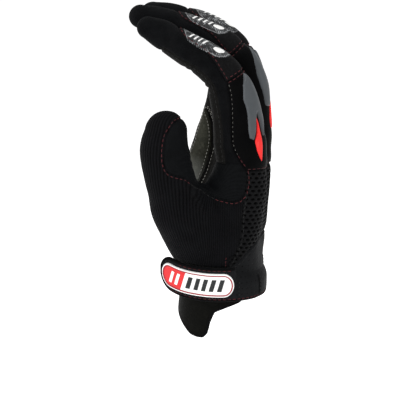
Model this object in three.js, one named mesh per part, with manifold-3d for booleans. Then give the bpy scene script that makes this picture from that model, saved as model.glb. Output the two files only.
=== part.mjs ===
// Protective work glove for the right hand, in the half-closed shape it has when it is worn.
// Millimetres, +Z up along the forearm towards the fingers, +X towards the back of the hand,
// -X towards the palm, -Y towards the thumb and index finger, +Y towards the little finger.
// The origin is the centre of the wrist opening, in the plane of the cuff's hem.
// Every piece is a wall of cloth or leather cut from one hollow skin, or a layer laid on that skin.
import * as THREE from "three";
import { mergeVertices } from "three/addons/utils/BufferGeometryUtils.js";
import Module from "manifold-3d";

const wasm = await Module();
wasm.setup();

// ---- driving dimensions -------------------------------------------------------------------
const WALL = 2.0; // cloth or leather wall
const GAP = 0.3; // between two pieces that touch
const SIDES = 12; // facets round a finger
const PALM_SIDES = 24; // facets round the palm
const STALL_CUT_Z = 112; // where the finger stalls are sewn to the hand
const CUFF_TOP_Z = 23; // seam between cuff and hand
const SPLIT_Y = -18; // radial panels on one side, palm leather on the other
const GUARD_LIFT = 1.7; // height of the moulded knuckle guards
const PAD_LIFT = 2.4; // height of the palm pad
const STRAP_WIDTH = 21; // hook-and-loop strap
const STRAP_THICK = 2.2;
const STRAP_STANDOFF = 0.8; // strap's inner face to the cuff
const LABEL_WIDTH = 14.6; // blank rubber patch on the strap
const LABEL_THICK = 1.6;
const TAB_THICK = 1.8; // pull tab

// ---- spines -------------------------------------------------------------------------------
// One row for each section, from the tip down. r is half the thickness from palm to back,
// side is the half width over r.
const columns = (names, rows) =>
  rows.map((row) => Object.fromEntries(names.map((n, i) => [n, row[i]])));
const SPINE = ["x", "y", "z", "r", "side"];

const FINGERS = {
  index: columns(SPINE, [
    [-43.0, -33.0, 165.0, 6.4, 0.95],
    [-36.0, -33.0, 161.5, 8.2, 0.95],
    [-27.0, -33.0, 156.5, 9.2, 0.95],
    [-18.5, -33.0, 151.5, 9.7, 0.95],
    [-9.5, -33.0, 146.5, 10.3, 0.92],
    [-2.0, -33.0, 140.5, 11.0, 0.88],
    [3.5, -33.0, 133.0, 12.2, 0.82],
    [6.5, -32.5, 123.0, 13.0, 0.78],
    [9.0, -32.0, 111.5, 13.6, 0.76],
    [11.0, -31.0, 98.0, 14.8, 0.72],
    [11.0, -29.5, 80.0, 12.0, 0.72],
  ]),
  middle: columns(SPINE, [
    [-48.0, -11.0, 170.0, 7.0, 0.95],
    [-40.0, -11.0, 167.5, 8.6, 0.95],
    [-28.0, -11.0, 164.0, 9.4, 0.95],
    [-16.0, -11.0, 160.0, 9.9, 0.95],
    [-5.0, -11.0, 154.5, 10.6, 0.92],
    [4.0, -11.0, 147.5, 11.4, 0.88],
    [10.5, -11.0, 138.5, 12.4, 0.82],
    [14.5, -11.0, 127.0, 13.2, 0.78],
    [16.0, -10.5, 114.5, 13.6, 0.76],
    [16.0, -10.0, 99.5, 14.2, 0.72],
    [15.0, -10.0, 80.0, 11.5, 0.72],
  ]),
  ring: columns(SPINE, [
    [-41.0, 10.5, 169.5, 7.4, 0.95],
    [-32.0, 10.5, 167.5, 8.8, 0.95],
    [-21.0, 10.5, 164.5, 9.2, 0.95],
    [-10.0, 10.5, 160.5, 9.8, 0.95],
    [-0.5, 10.5, 155.0, 10.2, 0.92],
    [7.5, 10.5, 147.5, 10.8, 0.88],
    [12.5, 10.5, 137.0, 11.8, 0.84],
    [15.0, 10.5, 124.0, 12.8, 0.79],
    [15.5, 10.5, 111.5, 13.2, 0.76],
    [15.0, 10.0, 97.5, 14.0, 0.72],
    [12.0, 10.0, 78.0, 11.5, 0.72],
  ]),
  little: columns(SPINE, [
    [-27.5, 31.5, 155.5, 6.8, 0.95],
    [-20.0, 31.5, 153.5, 8.0, 0.95],
    [-12.0, 31.5, 150.5, 8.6, 0.94],
    [-4.0, 31.5, 145.5, 9.0, 0.92],
    [1.0, 31.5, 138.5, 9.8, 0.88],
    [4.0, 31.5, 129.0, 10.8, 0.84],
    [5.0, 31.2, 118.0, 12.6, 0.76],
    [4.0, 31.0, 106.5, 14.2, 0.72],
    [2.0, 30.5, 95.0, 15.2, 0.68],
    [-1.0, 29.0, 76.0, 12.5, 0.7],
  ]),
};
const THUMB = columns(SPINE, [
  [-32.5, -39.0, 104.5, 12.4, 0.9],
  [-33.5, -40.0, 93.5, 14.6, 0.9],
  [-31.5, -40.0, 81.0, 14.8, 0.88],
  [-28.5, -38.0, 69.0, 15.2, 0.86],
  [-24.0, -34.0, 56.5, 17.0, 0.84],
  [-17.0, -27.0, 43.0, 19.6, 0.8],
  [-9.5, -17.0, 29.0, 21.0, 0.8],
  [-3.0, -12.0, 14.0, 17.5, 0.8],
]);
// The web between thumb and index finger; its lowest point is the crotch.
const WEB = columns(SPINE, [
  [-24.0, -34.5, 56.0, 18.0, 0.6],
  [-17.0, -33.0, 57.0, 16.0, 0.52],
  [-9.0, -31.5, 58.5, 14.0, 0.52],
  [-1.0, -30.0, 61.0, 15.0, 0.58],
  [8.0, -28.5, 66.0, 16.5, 0.66],
]);
// The four bones of the palm, from the knuckles down to below the hem.
const RAYS = [
  columns(SPINE, [
    [10.5, -30.8, 104.0, 11.6, 0.74],
    [12.0, -30.0, 86.0, 15.8, 0.74],
    [11.0, -28.5, 70.5, 16.8, 0.76],
    [9.0, -26.0, 53.5, 17.2, 0.8],
    [5.5, -22.0, 35.0, 18.0, 0.86],
    [1.5, -17.0, 19.0, 20.2, 0.86],
    [0.0, -15.0, 0.0, 22.0, 0.84],
    [0.0, -15.0, -12.0, 22.0, 0.84],
  ]),
  columns(SPINE, [
    [15.5, -10.0, 104.0, 11.4, 0.74],
    [16.0, -10.0, 85.5, 15.2, 0.76],
    [15.0, -9.5, 70.0, 16.0, 0.78],
    [13.0, -8.5, 54.0, 16.8, 0.82],
    [10.5, -7.0, 38.0, 17.8, 0.88],
    [5.5, -6.0, 21.5, 22.0, 0.9],
    [0.5, -5.0, 0.0, 25.6, 0.9],
    [0.5, -5.0, -12.0, 25.6, 0.9],
  ]),
  columns(SPINE, [
    [14.5, 10.0, 104.0, 11.0, 0.74],
    [12.0, 10.0, 82.0, 15.6, 0.76],
    [10.0, 9.5, 66.5, 16.8, 0.78],
    [8.5, 9.0, 50.5, 17.8, 0.82],
    [6.5, 8.0, 35.0, 18.8, 0.88],
    [3.5, 7.0, 18.5, 22.4, 0.9],
    [0.0, 6.0, 0.0, 25.4, 0.9],
    [0.0, 6.0, -12.0, 25.4, 0.9],
  ]),
  columns(SPINE, [
    [2.5, 30.8, 102.0, 11.4, 0.74],
    [-1.5, 30.0, 81.0, 17.4, 0.72],
    [-3.5, 29.0, 66.0, 18.8, 0.72],
    [-3.5, 27.0, 50.5, 19.2, 0.76],
    [-2.0, 24.0, 34.5, 19.6, 0.8],
    [-0.5, 20.0, 18.0, 21.2, 0.8],
    [0.0, 17.0, 0.0, 22.4, 0.8],
    [0.0, 17.0, -12.0, 22.4, 0.8],
  ]),
];
const PALM_LEVELS = [-8, 0, 12, 24, 38, 54, 70, 84, 96, 103];
const PALM_TOP = { z: 108.2, shrink: 5, dome: 0.7 }; // the palm rounds off between the fingers

// Where the strap runs: angle round the wrist from the back of the hand, towards the thumb
// negative; then it leaves the wrist and its free end stands off towards the palm.
const STRAP = { start: 118, end: -97, step: 8, midZ: 10.5 };
const STRAP_LEVELS = [0, 5, 10, 15, 21]; // heights at which it has to clear the cuff
const STRAP_FREE = columns(
  ["x", "y", "z"],
  [
    [-12.0, -36.0, 10.9],
    [-19.0, -35.4, 12.0],
    [-26.0, -33.8, 14.0],
    [-32.0, -31.2, 16.6],
    [-36.2, -28.4, 18.6],
  ],
);
const LABEL_SPAN = { from: 8, to: -34.2 }; // in x, along the strap's face

// Pull tab: its lower edge under the hem, by angle as above.
const TAB = columns(
  ["angle", "low"],
  [
    [-70, -1.0],
    [-84, -3.8],
    [-98, -7.6],
    [-104, -21.4],
    [-108, -23.2],
    [-118, -23.2],
    [-125, -22.0],
    [-135, -18.0],
    [-147, -14.0],
    [-165, -11.0],
    [-188, -7.0],
    [-204, -3.0],
    [-212, -1.0],
  ],
);
const TAB_STEP = 7; // degrees

// ---- outlines of pieces laid on the skin ---------------------------------------------------
// Seen from the thumb side, in x and z.
const XZ = ["x", "z"];
const INDEX_GUARD = columns(XZ, [
  [13.2, 139.5],
  [16.5, 133.0],
  [20.4, 124.0],
  [21.4, 114.5],
  [22.6, 111.0],
  [25.0, 104.5],
  [25.4, 99.5],
  [23.6, 101.0],
  [21.5, 108.0],
  [20.2, 110.5],
  [19.6, 98.4],
  [16.6, 101.0],
  [15.2, 107.0],
  [14.4, 117.0],
  [12.4, 122.0],
  [11.9, 131.0],
]);
const INDEX_FLAME = columns(XZ, [
  [20.4, 109.2],
  [22.4, 101.5],
  [24.4, 94.0],
  [25.2, 87.5],
  [24.0, 85.8],
  [21.8, 91.0],
  [20.3, 97.9],
]);
// Seen from the back of the hand: u runs across, towards the little finger, from the guard's
// middle, and z up. The same moulding sits on the other three fingers.
const UZ = ["u", "z"];
const GUARD = columns(UZ, [
  [0.0, 28.8],
  [4.2, 22.4],
  [6.2, 12.8],
  [6.4, 4.8],
  [5.4, -4.8],
  [3.6, -9.6],
  [3.0, -3.2],
  [1.6, 1.6],
  [-0.4, -6.4],
  [-4.4, -5.6],
  [-5.6, 1.6],
  [-6.2, 11.2],
  [-4.0, 22.4],
]);
const FLAME = columns(UZ, [
  [1.7, 0.4],
  [2.9, -6.4],
  [2.6, -12.8],
  [1.0, -19.2],
  [-0.6, -20.0],
  [-1.2, -12.8],
  [-0.1, -7.0],
]);
const GUARD_PLACES = columns(
  ["finger", "y", "z"],
  [
    ["middle", -12.4, 122.5],
    ["ring", 10.2, 119.0],
    ["little", 31.5, 105.0],
  ],
);
// On the side of the palm's heel that faces the thumb, in x and z.
const PALM_PAD = columns(XZ, [
  [-9.2, 107.0],
  [-10.5, 103.1],
  [-13.5, 92.8],
  [-16.2, 83.6],
  [-18.2, 80.0],
  [-20.0, 74.0],
  [-19.5, 66.0],
  [-16.0, 61.0],
  [-11.4, 66.4],
  [-7.6, 74.4],
  [-5.4, 80.9],
  [-4.2, 88.0],
  [-4.2, 92.9],
  [-5.0, 99.4],
  [-6.4, 104.4],
]);

// ---- seams that part the skin into panels, seen from the thumb side ------------------------
// Leather of the web and index base lies above this line.
const WEB_SEAM = columns(XZ, [
  [-70.0, 80.5],
  [-36.0, 80.0],
  [-25.0, 79.0],
  [-15.0, 71.5],
  [-8.0, 66.5],
  [-1.5, 63.5],
  [7.5, 61.0],
  [14.0, 64.0],
  [16.4, 71.5],
  [16.2, 80.0],
  [12.0, 85.5],
  [7.2, 93.5],
  [6.6, 113.0],
]);
// The mesh starts behind this line.
const MESH_SEAM = columns(XZ, [
  [6.0, 10.0],
  [8.0, 24.0],
  [10.5, 37.0],
  [12.5, 49.5],
  [13.6, 59.0],
  [14.0, 66.5],
]);
const KNUCKLE_SEAM_Z = 81; // lower edge of the knuckle panel
// Palm and back meet along this line on the little-finger side and at the finger roots.
const SIDE_SEAM = columns(XZ, [
  [1.5, 0.0],
  [1.5, 23.0],
  [-1.0, 45.0],
  [-2.0, 70.0],
  [2.0, 88.0],
  [6.2, 99.0],
  [6.9, 117.0],
]);

// ---- geometry helpers ----------------------------------------------------------------------
const V = (x, y, z) => new THREE.Vector3(x, y, z);

// A closed skin through rings that each hold the same number of points. The last ring may be
// closed by a low dome.
function skin(rings, dome = 0) {
  const n = rings[0].length;
  const points = rings.flat();
  const mean = (ring) =>
    ring.reduce((s, p) => s.add(p), V(0, 0, 0)).divideScalar(n);
  points.push(mean(rings[0]), mean(rings.at(-1)).add(V(0, 0, dome)));
  const first = points.length - 2;
  const faces = [];
  for (let i = 0; i < rings.length - 1; i++)
    for (let j = 0; j < n; j++) {
      const k = (j + 1) % n;
      const [a, b, c, d] = [i * n + j, i * n + k, i * n + n + k, i * n + n + j];
      faces.push(a, b, c, a, c, d);
    }
  const last = (rings.length - 1) * n;
  for (let j = 0; j < n; j++) {
    const k = (j + 1) % n;
    faces.push(first, k, j, first + 1, last + j, last + k);
  }
  const geometry = new THREE.BufferGeometry().setFromPoints(points);
  geometry.setIndex(faces);
  return geometry;
}

function solid(geometry) {
  const bare = geometry.clone();
  bare.deleteAttribute("normal");
  bare.deleteAttribute("uv");
  const merged = mergeVertices(bare, 1e-4);
  const triVerts = new Uint32Array(merged.index.array);
  const vertProperties = new Float32Array(merged.attributes.position.array);
  const made = new wasm.Manifold(
    new wasm.Mesh({ numProp: 3, vertProperties, triVerts }),
  );
  if (made.volume() > 0) return made;
  for (let i = 0; i < triVerts.length; i += 3)
    [triVerts[i + 1], triVerts[i + 2]] = [triVerts[i + 2], triVerts[i + 1]];
  return new wasm.Manifold(
    new wasm.Mesh({ numProp: 3, vertProperties, triVerts }),
  );
}

const largest = (s) =>
  s.decompose().reduce((a, b) => (b.volume() > a.volume() ? b : a));
const unite = (list) => list.reduce((a, b) => a.add(b));

// A finger: elliptical rings along its spine, closed by a round tip. grow is added to r.
function tube(rows, grow) {
  const at = (i) => V(rows[i].x, rows[i].y, rows[i].z);
  const ring = (centre, along, thick, wide) => {
    const across = V(0, 1, 0).addScaledVector(along, -along.y).normalize();
    const back = across.clone().cross(along).normalize();
    return Array.from({ length: SIDES }, (_, j) => {
      const a = (2 * Math.PI * j) / SIDES;
      return centre
        .clone()
        .addScaledVector(back, thick * Math.cos(a))
        .addScaledVector(across, wide * Math.sin(a));
    });
  };
  const rings = [];
  const tipward = at(0).sub(at(1)).normalize();
  const r0 = rows[0].r + grow;
  for (const deg of [76, 52, 26]) {
    const a = THREE.MathUtils.degToRad(deg);
    const c = at(0).addScaledVector(tipward, r0 * Math.sin(a));
    const side = rows[0].side * rows[0].r + grow;
    rings.push(
      ring(c, tipward.clone().negate(), r0 * Math.cos(a), side * Math.cos(a)),
    );
  }
  for (let i = 0; i < rows.length; i++) {
    const along = at(Math.min(i + 1, rows.length - 1))
      .sub(at(Math.max(i - 1, 0)))
      .normalize();
    rings.push(
      ring(at(i), along, rows[i].r + grow, rows[i].side * rows[i].r + grow),
    );
  }
  return solid(skin(rings));
}

// Reads a spine's row at a height.
function rowAt(rows, z) {
  for (let i = 0; i < rows.length - 1; i++) {
    const [a, b] = [rows[i], rows[i + 1]];
    if (z <= a.z && z >= b.z) {
      const t = (a.z - z) / (a.z - b.z);
      return Object.fromEntries(
        SPINE.map((n) => [n, a[n] + (b[n] - a[n]) * t]),
      );
    }
  }
  return z > rows[0].z ? rows[0] : rows.at(-1);
}

// The palm's skin at a height: a smooth closed line stretched round the four bones.
function palmRing(z, grow, sides = PALM_SIDES) {
  const rays = RAYS.map((rows) => rowAt(rows, z));
  const [first, last] = [rays[0], rays[3]];
  const edge = (ray, sign) => {
    const w = ray.side * ray.r + grow;
    return [
      V(ray.x + ray.r * 0.62 + grow * 0.7, ray.y + sign * w * 0.8, z),
      V(ray.x, ray.y + sign * w, z),
      V(ray.x - ray.r * 0.62 - grow * 0.7, ray.y + sign * w * 0.8, z),
    ];
  };
  const line = new THREE.CatmullRomCurve3(
    [
      ...rays.map((ray) => V(ray.x + ray.r + grow, ray.y, z)),
      ...edge(last, 1),
      ...rays.toReversed().map((ray) => V(ray.x - ray.r - grow, ray.y, z)),
      ...edge(first, -1).toReversed(),
    ],
    true,
    "centripetal",
  );
  return Array.from({ length: sides }, (_, j) => line.getPoint(j / sides));
}

function palm(grow, bottom) {
  const rings = PALM_LEVELS.map((z, i) =>
    palmRing(z, grow).map((p) => (i ? p : V(p.x, p.y, bottom))),
  );
  rings.push(
    palmRing(PALM_LEVELS.at(-1), grow - PALM_TOP.shrink).map((p) =>
      V(p.x, p.y, PALM_TOP.z + grow),
    ),
  );
  return solid(skin(rings, PALM_TOP.dome));
}

// The whole hand, with its surface moved out by grow. It runs on down past the hem.
const hand = (grow, bottom) =>
  unite([
    palm(grow, bottom),
    ...Object.values(FINGERS).map((rows) => tube(rows, grow)),
    tube(THUMB, grow),
    tube(WEB, grow),
  ]);

// A prism of an outline, standing along Y (a drawing in x and z) or along X (in y and z).
function prism(points, low, high, along) {
  const shape = new THREE.Shape(points.map((p) => new THREE.Vector2(...p)));
  const geometry = new THREE.ExtrudeGeometry(shape, {
    depth: high - low,
    bevelEnabled: false,
  });
  const place =
    along === "y"
      ? new THREE.Matrix4().makeBasis(V(1, 0, 0), V(0, 0, 1), V(0, -1, 0))
      : new THREE.Matrix4().makeBasis(V(0, 1, 0), V(0, 0, 1), V(1, 0, 0));
  geometry.applyMatrix4(place);
  geometry.translate(along === "y" ? 0 : low, along === "y" ? high : 0, 0);
  return solid(geometry);
}
// A rectangular block from corner to corner.
function block(x0, x1, y0, y1, z0, z1) {
  return solid(
    new THREE.BoxGeometry(x1 - x0, y1 - y0, z1 - z0).translate(
      (x0 + x1) / 2,
      (y0 + y1) / 2,
      (z0 + z1) / 2,
    ),
  );
}
// A thin knife along a drawn line: what it takes out is the gap between two panels.
function knife(line, low, high, along) {
  const half = GAP / 2;
  const left = [];
  const right = [];
  line.forEach((p, i) => {
    const a = line[Math.max(i - 1, 0)];
    const b = line[Math.min(i + 1, line.length - 1)];
    const d = new THREE.Vector2(b[0] - a[0], b[1] - a[1]).normalize();
    left.push([p[0] - d.y * half, p[1] + d.x * half]);
    right.push([p[0] + d.y * half, p[1] - d.x * half]);
  });
  return prism([...left, ...right.toReversed()], low, high, along);
}

// Snaps the corners of a cut piece to a fine grid and drops the slivers that vanish.
const GRIDS = [0.004, 0.01, 0.02, 0.05];
function weld(made) {
  const mesh = made.getMesh();
  for (const grid of GRIDS) {
    const geometry = new THREE.BufferGeometry();
    const snapped = mesh.vertProperties.map((v) => Math.round(v / grid) * grid);
    geometry.setAttribute("position", new THREE.BufferAttribute(snapped, 3));
    geometry.setIndex(
      new THREE.BufferAttribute(new Uint32Array(mesh.triVerts), 1),
    );
    const merged = mergeVertices(geometry, grid / 4);
    const faces = [];
    const edges = new Set();
    let sound = true;
    const index = merged.index.array;
    for (let i = 0; i < index.length; i += 3) {
      const [a, b, c] = [index[i], index[i + 1], index[i + 2]];
      if (a === b || b === c || c === a) continue;
      faces.push(a, b, c);
      for (const edge of [`${a},${b}`, `${b},${c}`, `${c},${a}`]) {
        if (edges.has(edge)) sound = false;
        edges.add(edge);
      }
    }
    for (const edge of edges)
      if (!edges.has(edge.split(",").reverse().join(","))) sound = false;
    merged.setIndex(faces);
    if (sound) return merged;
  }
  throw new Error("a cut piece can't be closed");
}

const root = new THREE.Group();
function add(name, made, colour, roughness, metalness = 0) {
  const geometry = weld(made);
  geometry.computeVertexNormals();
  const piece = new THREE.Mesh(
    geometry,
    new THREE.MeshStandardMaterial({ color: colour, roughness, metalness }),
  );
  piece.name = name;
  root.add(piece);
}

const KNIT = 0x101214;
const LEATHER = 0x161614;
const RUBBER = 0x0b0b0d;

// ---- the hollow skin -----------------------------------------------------------------------
const outer = hand(0, -8);
const inner = hand(-WALL, -14);
const FAR = 90;
const shell = outer
  .subtract(inner)
  .intersect(block(-FAR, FAR, -FAR, FAR, 0, 2 * FAR + 40));

// Finger stalls, above the seam at the finger roots.
const above = shell.intersect(
  block(-FAR, FAR, -FAR, FAR, STALL_CUT_Z + GAP / 2, 220),
);
const between = Object.values(FINGERS).map((rows) => rows[6]);
const slots = [0, 1, 2].map((i) => {
  const [a, b] = [between[i], between[i + 1]];
  const edge = (a.y + a.r * a.side + b.y - b.r * b.side) / 2;
  return block(-FAR, FAR, edge - 0.2, edge + 0.2, STALL_CUT_Z - 1, 220);
});
const lanes = slots.reduce((s, slot) => s.subtract(slot), above);
const stalls = lanes.decompose().filter((s) => s.volume() > 1000);
for (const [name, rows] of Object.entries(FINGERS)) {
  const y = rows[4].y;
  const off = (s) => {
    const box = s.boundingBox();
    return Math.abs((box.min[1] + box.max[1]) / 2 - y);
  };
  const mine = stalls.reduce((a, b) => (off(b) < off(a) ? b : a));
  add(name + "_finger_stall", mine, KNIT, 0.85);
}

// Thumb stall, above its seam.
const thumbBlock = prism(
  [
    [-70, 81.5],
    [-17.2, 81.5],
    [-17.2, 130],
    [-70, 130],
  ],
  -FAR,
  -24,
  "y",
);
const below = shell.intersect(
  block(-FAR, FAR, -FAR, FAR, 0, STALL_CUT_Z - GAP / 2),
);
add("thumb_stall", largest(shell.intersect(thumbBlock)), KNIT, 0.85);

// Cuff, and the hand above it.
add(
  "cuff",
  largest(
    below.intersect(block(-FAR, FAR, -FAR, FAR, 0, CUFF_TOP_Z - GAP / 2)),
  ),
  KNIT,
  0.8,
);
const thumbRoom = prism(
  [
    [-70, 81.2],
    [-16.9, 81.2],
    [-16.9, 130],
    [-70, 130],
  ],
  -FAR,
  -23.7,
  "y",
);
const body = below
  .intersect(
    block(-FAR, FAR, -FAR, FAR, CUFF_TOP_Z + GAP / 2, STALL_CUT_Z - GAP / 2),
  )
  .subtract(thumbRoom);

// Palm leather: the palm's face, and the web and index base above the web seam.
const pairs = (rows, a = "x", b = "z") => rows.map((p) => [p[a], p[b]]);
const top = STALL_CUT_Z + 5;
const webBlock = (shift) =>
  prism(
    [
      ...pairs(WEB_SEAM).map(([x, z]) => [x - shift * 0.7, z + shift * 0.7]),
      [6.6 - shift, top],
      [-70, top],
    ],
    -FAR,
    SPLIT_Y,
    "y",
  );
const palmBlock = (shift) =>
  prism(
    [
      [-70, 0],
      ...pairs(SIDE_SEAM).map(([x, z]) => [x - shift, z]),
      [-70, top],
    ],
    SPLIT_Y - 1,
    FAR,
    "y",
  );
const leather = body.intersect(
  webBlock(GAP / 2).add(palmBlock(GAP / 2)),
);
add("palm_panel", largest(leather), LEATHER, 0.6);

// What the leather leaves: thumb-side knit, mesh back and knuckle panel.
const rest = body.subtract(webBlock(-GAP / 2).add(palmBlock(-GAP / 2)));
const meshLine = pairs(MESH_SEAM);
const behind = prism(
  [[6, 0], ...meshLine, [10, 78], [-70, 95], [-70, top], [FAR, top], [FAR, 0]],
  -FAR,
  SPLIT_Y,
  "y",
).add(block(-FAR, FAR, SPLIT_Y - 1, FAR, 0, top));
const gapLine = knife([[6, 0], ...meshLine], -FAR, SPLIT_Y, "y");
add(
  "thumb_side_panel",
  largest(rest.subtract(behind).subtract(gapLine)),
  KNIT,
  0.9,
);
const back = rest.intersect(behind).subtract(gapLine);
add(
  "mesh_back_panel",
  largest(
    back.intersect(block(-FAR, FAR, -FAR, FAR, 0, KNUCKLE_SEAM_Z - GAP / 2)),
  ),
  KNIT,
  0.9,
);
add(
  "knuckle_panel",
  largest(
    back.intersect(block(-FAR, FAR, -FAR, FAR, KNUCKLE_SEAM_Z + GAP / 2, top)),
  ),
  RUBBER,
  0.4,
);

// ---- layers laid on the skin ---------------------------------------------------------------
const floor = hand(GAP + 0.05, -8);
const guardSkin = hand(GUARD_LIFT, -8).subtract(floor);
const padSkin = hand(PAD_LIFT, -8).subtract(floor);
const GREY = 0x55595c;
const RED = 0xe8262b;
add(
  "index_guard",
  largest(guardSkin.intersect(prism(pairs(INDEX_GUARD), -FAR, -30, "y"))),
  GREY,
  0.35,
);
add(
  "index_guard_flame",
  largest(guardSkin.intersect(prism(pairs(INDEX_FLAME), -FAR, -25, "y"))),
  RED,
  0.35,
);
for (const { finger, y, z } of GUARD_PLACES) {
  const place = (rows) => rows.map((p) => [y + p.u, z + p.z]);
  add(
    finger + "_guard",
    largest(guardSkin.intersect(prism(place(GUARD), 6, FAR, "x"))),
    GREY,
    0.35,
  );
  add(
    finger + "_guard_flame",
    largest(guardSkin.intersect(prism(place(FLAME), 2, FAR, "x"))),
    RED,
    0.35,
  );
}
add(
  "palm_pad",
  largest(padSkin.intersect(prism(pairs(PALM_PAD), 12, 28, "y"))),
  0x2e2f29,
  0.6,
);

// ---- wrist strap, its rubber patch, and the pull tab ---------------------------------------
// A point on the cuff's outside, moved out by off, at an angle from the back of the hand.
function cuffPoint(deg, off, z) {
  const ring = palmRing(z, off, 240);
  const want = THREE.MathUtils.degToRad(deg);
  const turn = (p) =>
    Math.abs(
      Math.atan2(
        Math.sin(Math.atan2(p.y, p.x) - want),
        Math.cos(Math.atan2(p.y, p.x) - want),
      ),
    );
  return ring.reduce((a, b) => (turn(b) < turn(a) ? b : a)).clone();
}
const strapLine = [];
for (let a = STRAP.start; a >= STRAP.end; a -= STRAP.step) {
  const p = STRAP_LEVELS.map((z) =>
    cuffPoint(a, STRAP_STANDOFF + STRAP_THICK / 2, z),
  ).reduce((m, q) => (Math.hypot(q.x, q.y) > Math.hypot(m.x, m.y) ? q : m));
  strapLine.push(V(p.x, p.y, STRAP.midZ));
}
strapLine.push(...STRAP_FREE.map((p) => V(p.x, p.y, p.z)));
const strapCurve = new THREE.CatmullRomCurve3(strapLine, false, "centripetal");

// A flat strip that follows the strap's line: half height h(t), from off to off + thick.
function strip(from, to, steps, half, off, thick) {
  const rings = [];
  for (let i = 0; i <= steps; i++) {
    const t = from + ((to - from) * i) / steps;
    const c = strapCurve.getPointAt(t);
    const along = strapCurve.getTangentAt(t).setZ(0).normalize();
    const out = V(-along.y, along.x, 0);
    if (out.dot(V(c.x, c.y, 0)) < 0) out.negate();
    const h = half(i / steps);
    const corner = (o, z) =>
      c.clone().addScaledVector(out, o).add(V(0, 0, z));
    rings.push([
      corner(off, -h),
      corner(off + thick, -h * 0.97),
      corner(off + thick, h * 0.97),
      corner(off, h),
    ]);
  }
  return solid(skin(rings));
}
const strapLength = strapCurve.getLength();
// Half height of a strip with one or two round ends of the given half height.
const rounded = (half, length, both) => (t) => {
  const d = Math.min((1 - t) * length, both ? t * length : length);
  const u = Math.min(1, Math.max(0.02, d / (half * 0.85)));
  return half * Math.sqrt(1 - (1 - u) ** 2);
};
add(
  "wrist_strap",
  strip(
    0,
    1,
    44,
    rounded(STRAP_WIDTH / 2, strapLength, false),
    -STRAP_THICK / 2,
    STRAP_THICK,
  ),
  KNIT,
  0.6,
);
const tAtX = (x) => {
  for (let t = 0.5; t < 1; t += 0.001) {
    const p = strapCurve.getPointAt(t);
    if (p.x <= x && p.y < -15) return t;
  }
  return 1;
};
const [labelFrom, labelTo] = [tAtX(LABEL_SPAN.from), tAtX(LABEL_SPAN.to)];
add(
  "strap_label",
  strip(
    labelFrom,
    labelTo,
    22,
    rounded(LABEL_WIDTH / 2, (labelTo - labelFrom) * strapLength, true),
    STRAP_THICK / 2 + GAP,
    LABEL_THICK,
  ),
  0xd9d9d6,
  0.4,
);

const tabRings = TAB.slice(1).flatMap((b, i) => {
  const a = TAB[i];
  const steps = Math.ceil((a.angle - b.angle) / TAB_STEP);
  return Array.from({ length: steps + (i ? 0 : 1) }, (_, j) => {
    const t = (j + (i ? 1 : 0)) / steps;
    const low = a.low + (b.low - a.low) * t;
    const angle = a.angle + (b.angle - a.angle) * t;
    const inside = cuffPoint(angle, -WALL + 0.1, 0);
    const outside = cuffPoint(angle, -WALL + 0.1 + TAB_THICK, 0);
    return [
      V(inside.x, inside.y, low),
      V(inside.x, inside.y, -GAP),
      V(outside.x, outside.y, -GAP),
      V(outside.x, outside.y, low),
    ];
  });
});
add("pull_tab", solid(skin(tabRings)), LEATHER, 0.6);

export default root;
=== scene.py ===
import math

import bpy
import numpy as np
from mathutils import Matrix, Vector
from mathutils.bvhtree import BVHTree
from mathutils.kdtree import KDTree


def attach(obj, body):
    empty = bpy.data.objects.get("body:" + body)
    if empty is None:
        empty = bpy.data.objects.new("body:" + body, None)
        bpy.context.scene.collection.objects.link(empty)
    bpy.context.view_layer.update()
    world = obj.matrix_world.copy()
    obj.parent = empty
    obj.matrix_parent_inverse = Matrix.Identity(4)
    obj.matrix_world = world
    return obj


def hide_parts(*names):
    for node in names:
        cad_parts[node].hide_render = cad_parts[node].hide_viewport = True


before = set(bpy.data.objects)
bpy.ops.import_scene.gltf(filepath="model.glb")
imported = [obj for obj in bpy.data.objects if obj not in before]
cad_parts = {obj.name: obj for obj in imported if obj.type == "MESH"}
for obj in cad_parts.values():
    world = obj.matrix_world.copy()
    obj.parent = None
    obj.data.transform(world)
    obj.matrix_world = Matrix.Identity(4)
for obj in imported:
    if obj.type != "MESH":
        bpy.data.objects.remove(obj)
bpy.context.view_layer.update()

MM = 0.001
CELL = 1.1  # grid of the skin, millimetres
WALL = 1.2  # thickness of the fabric, millimetres



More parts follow.
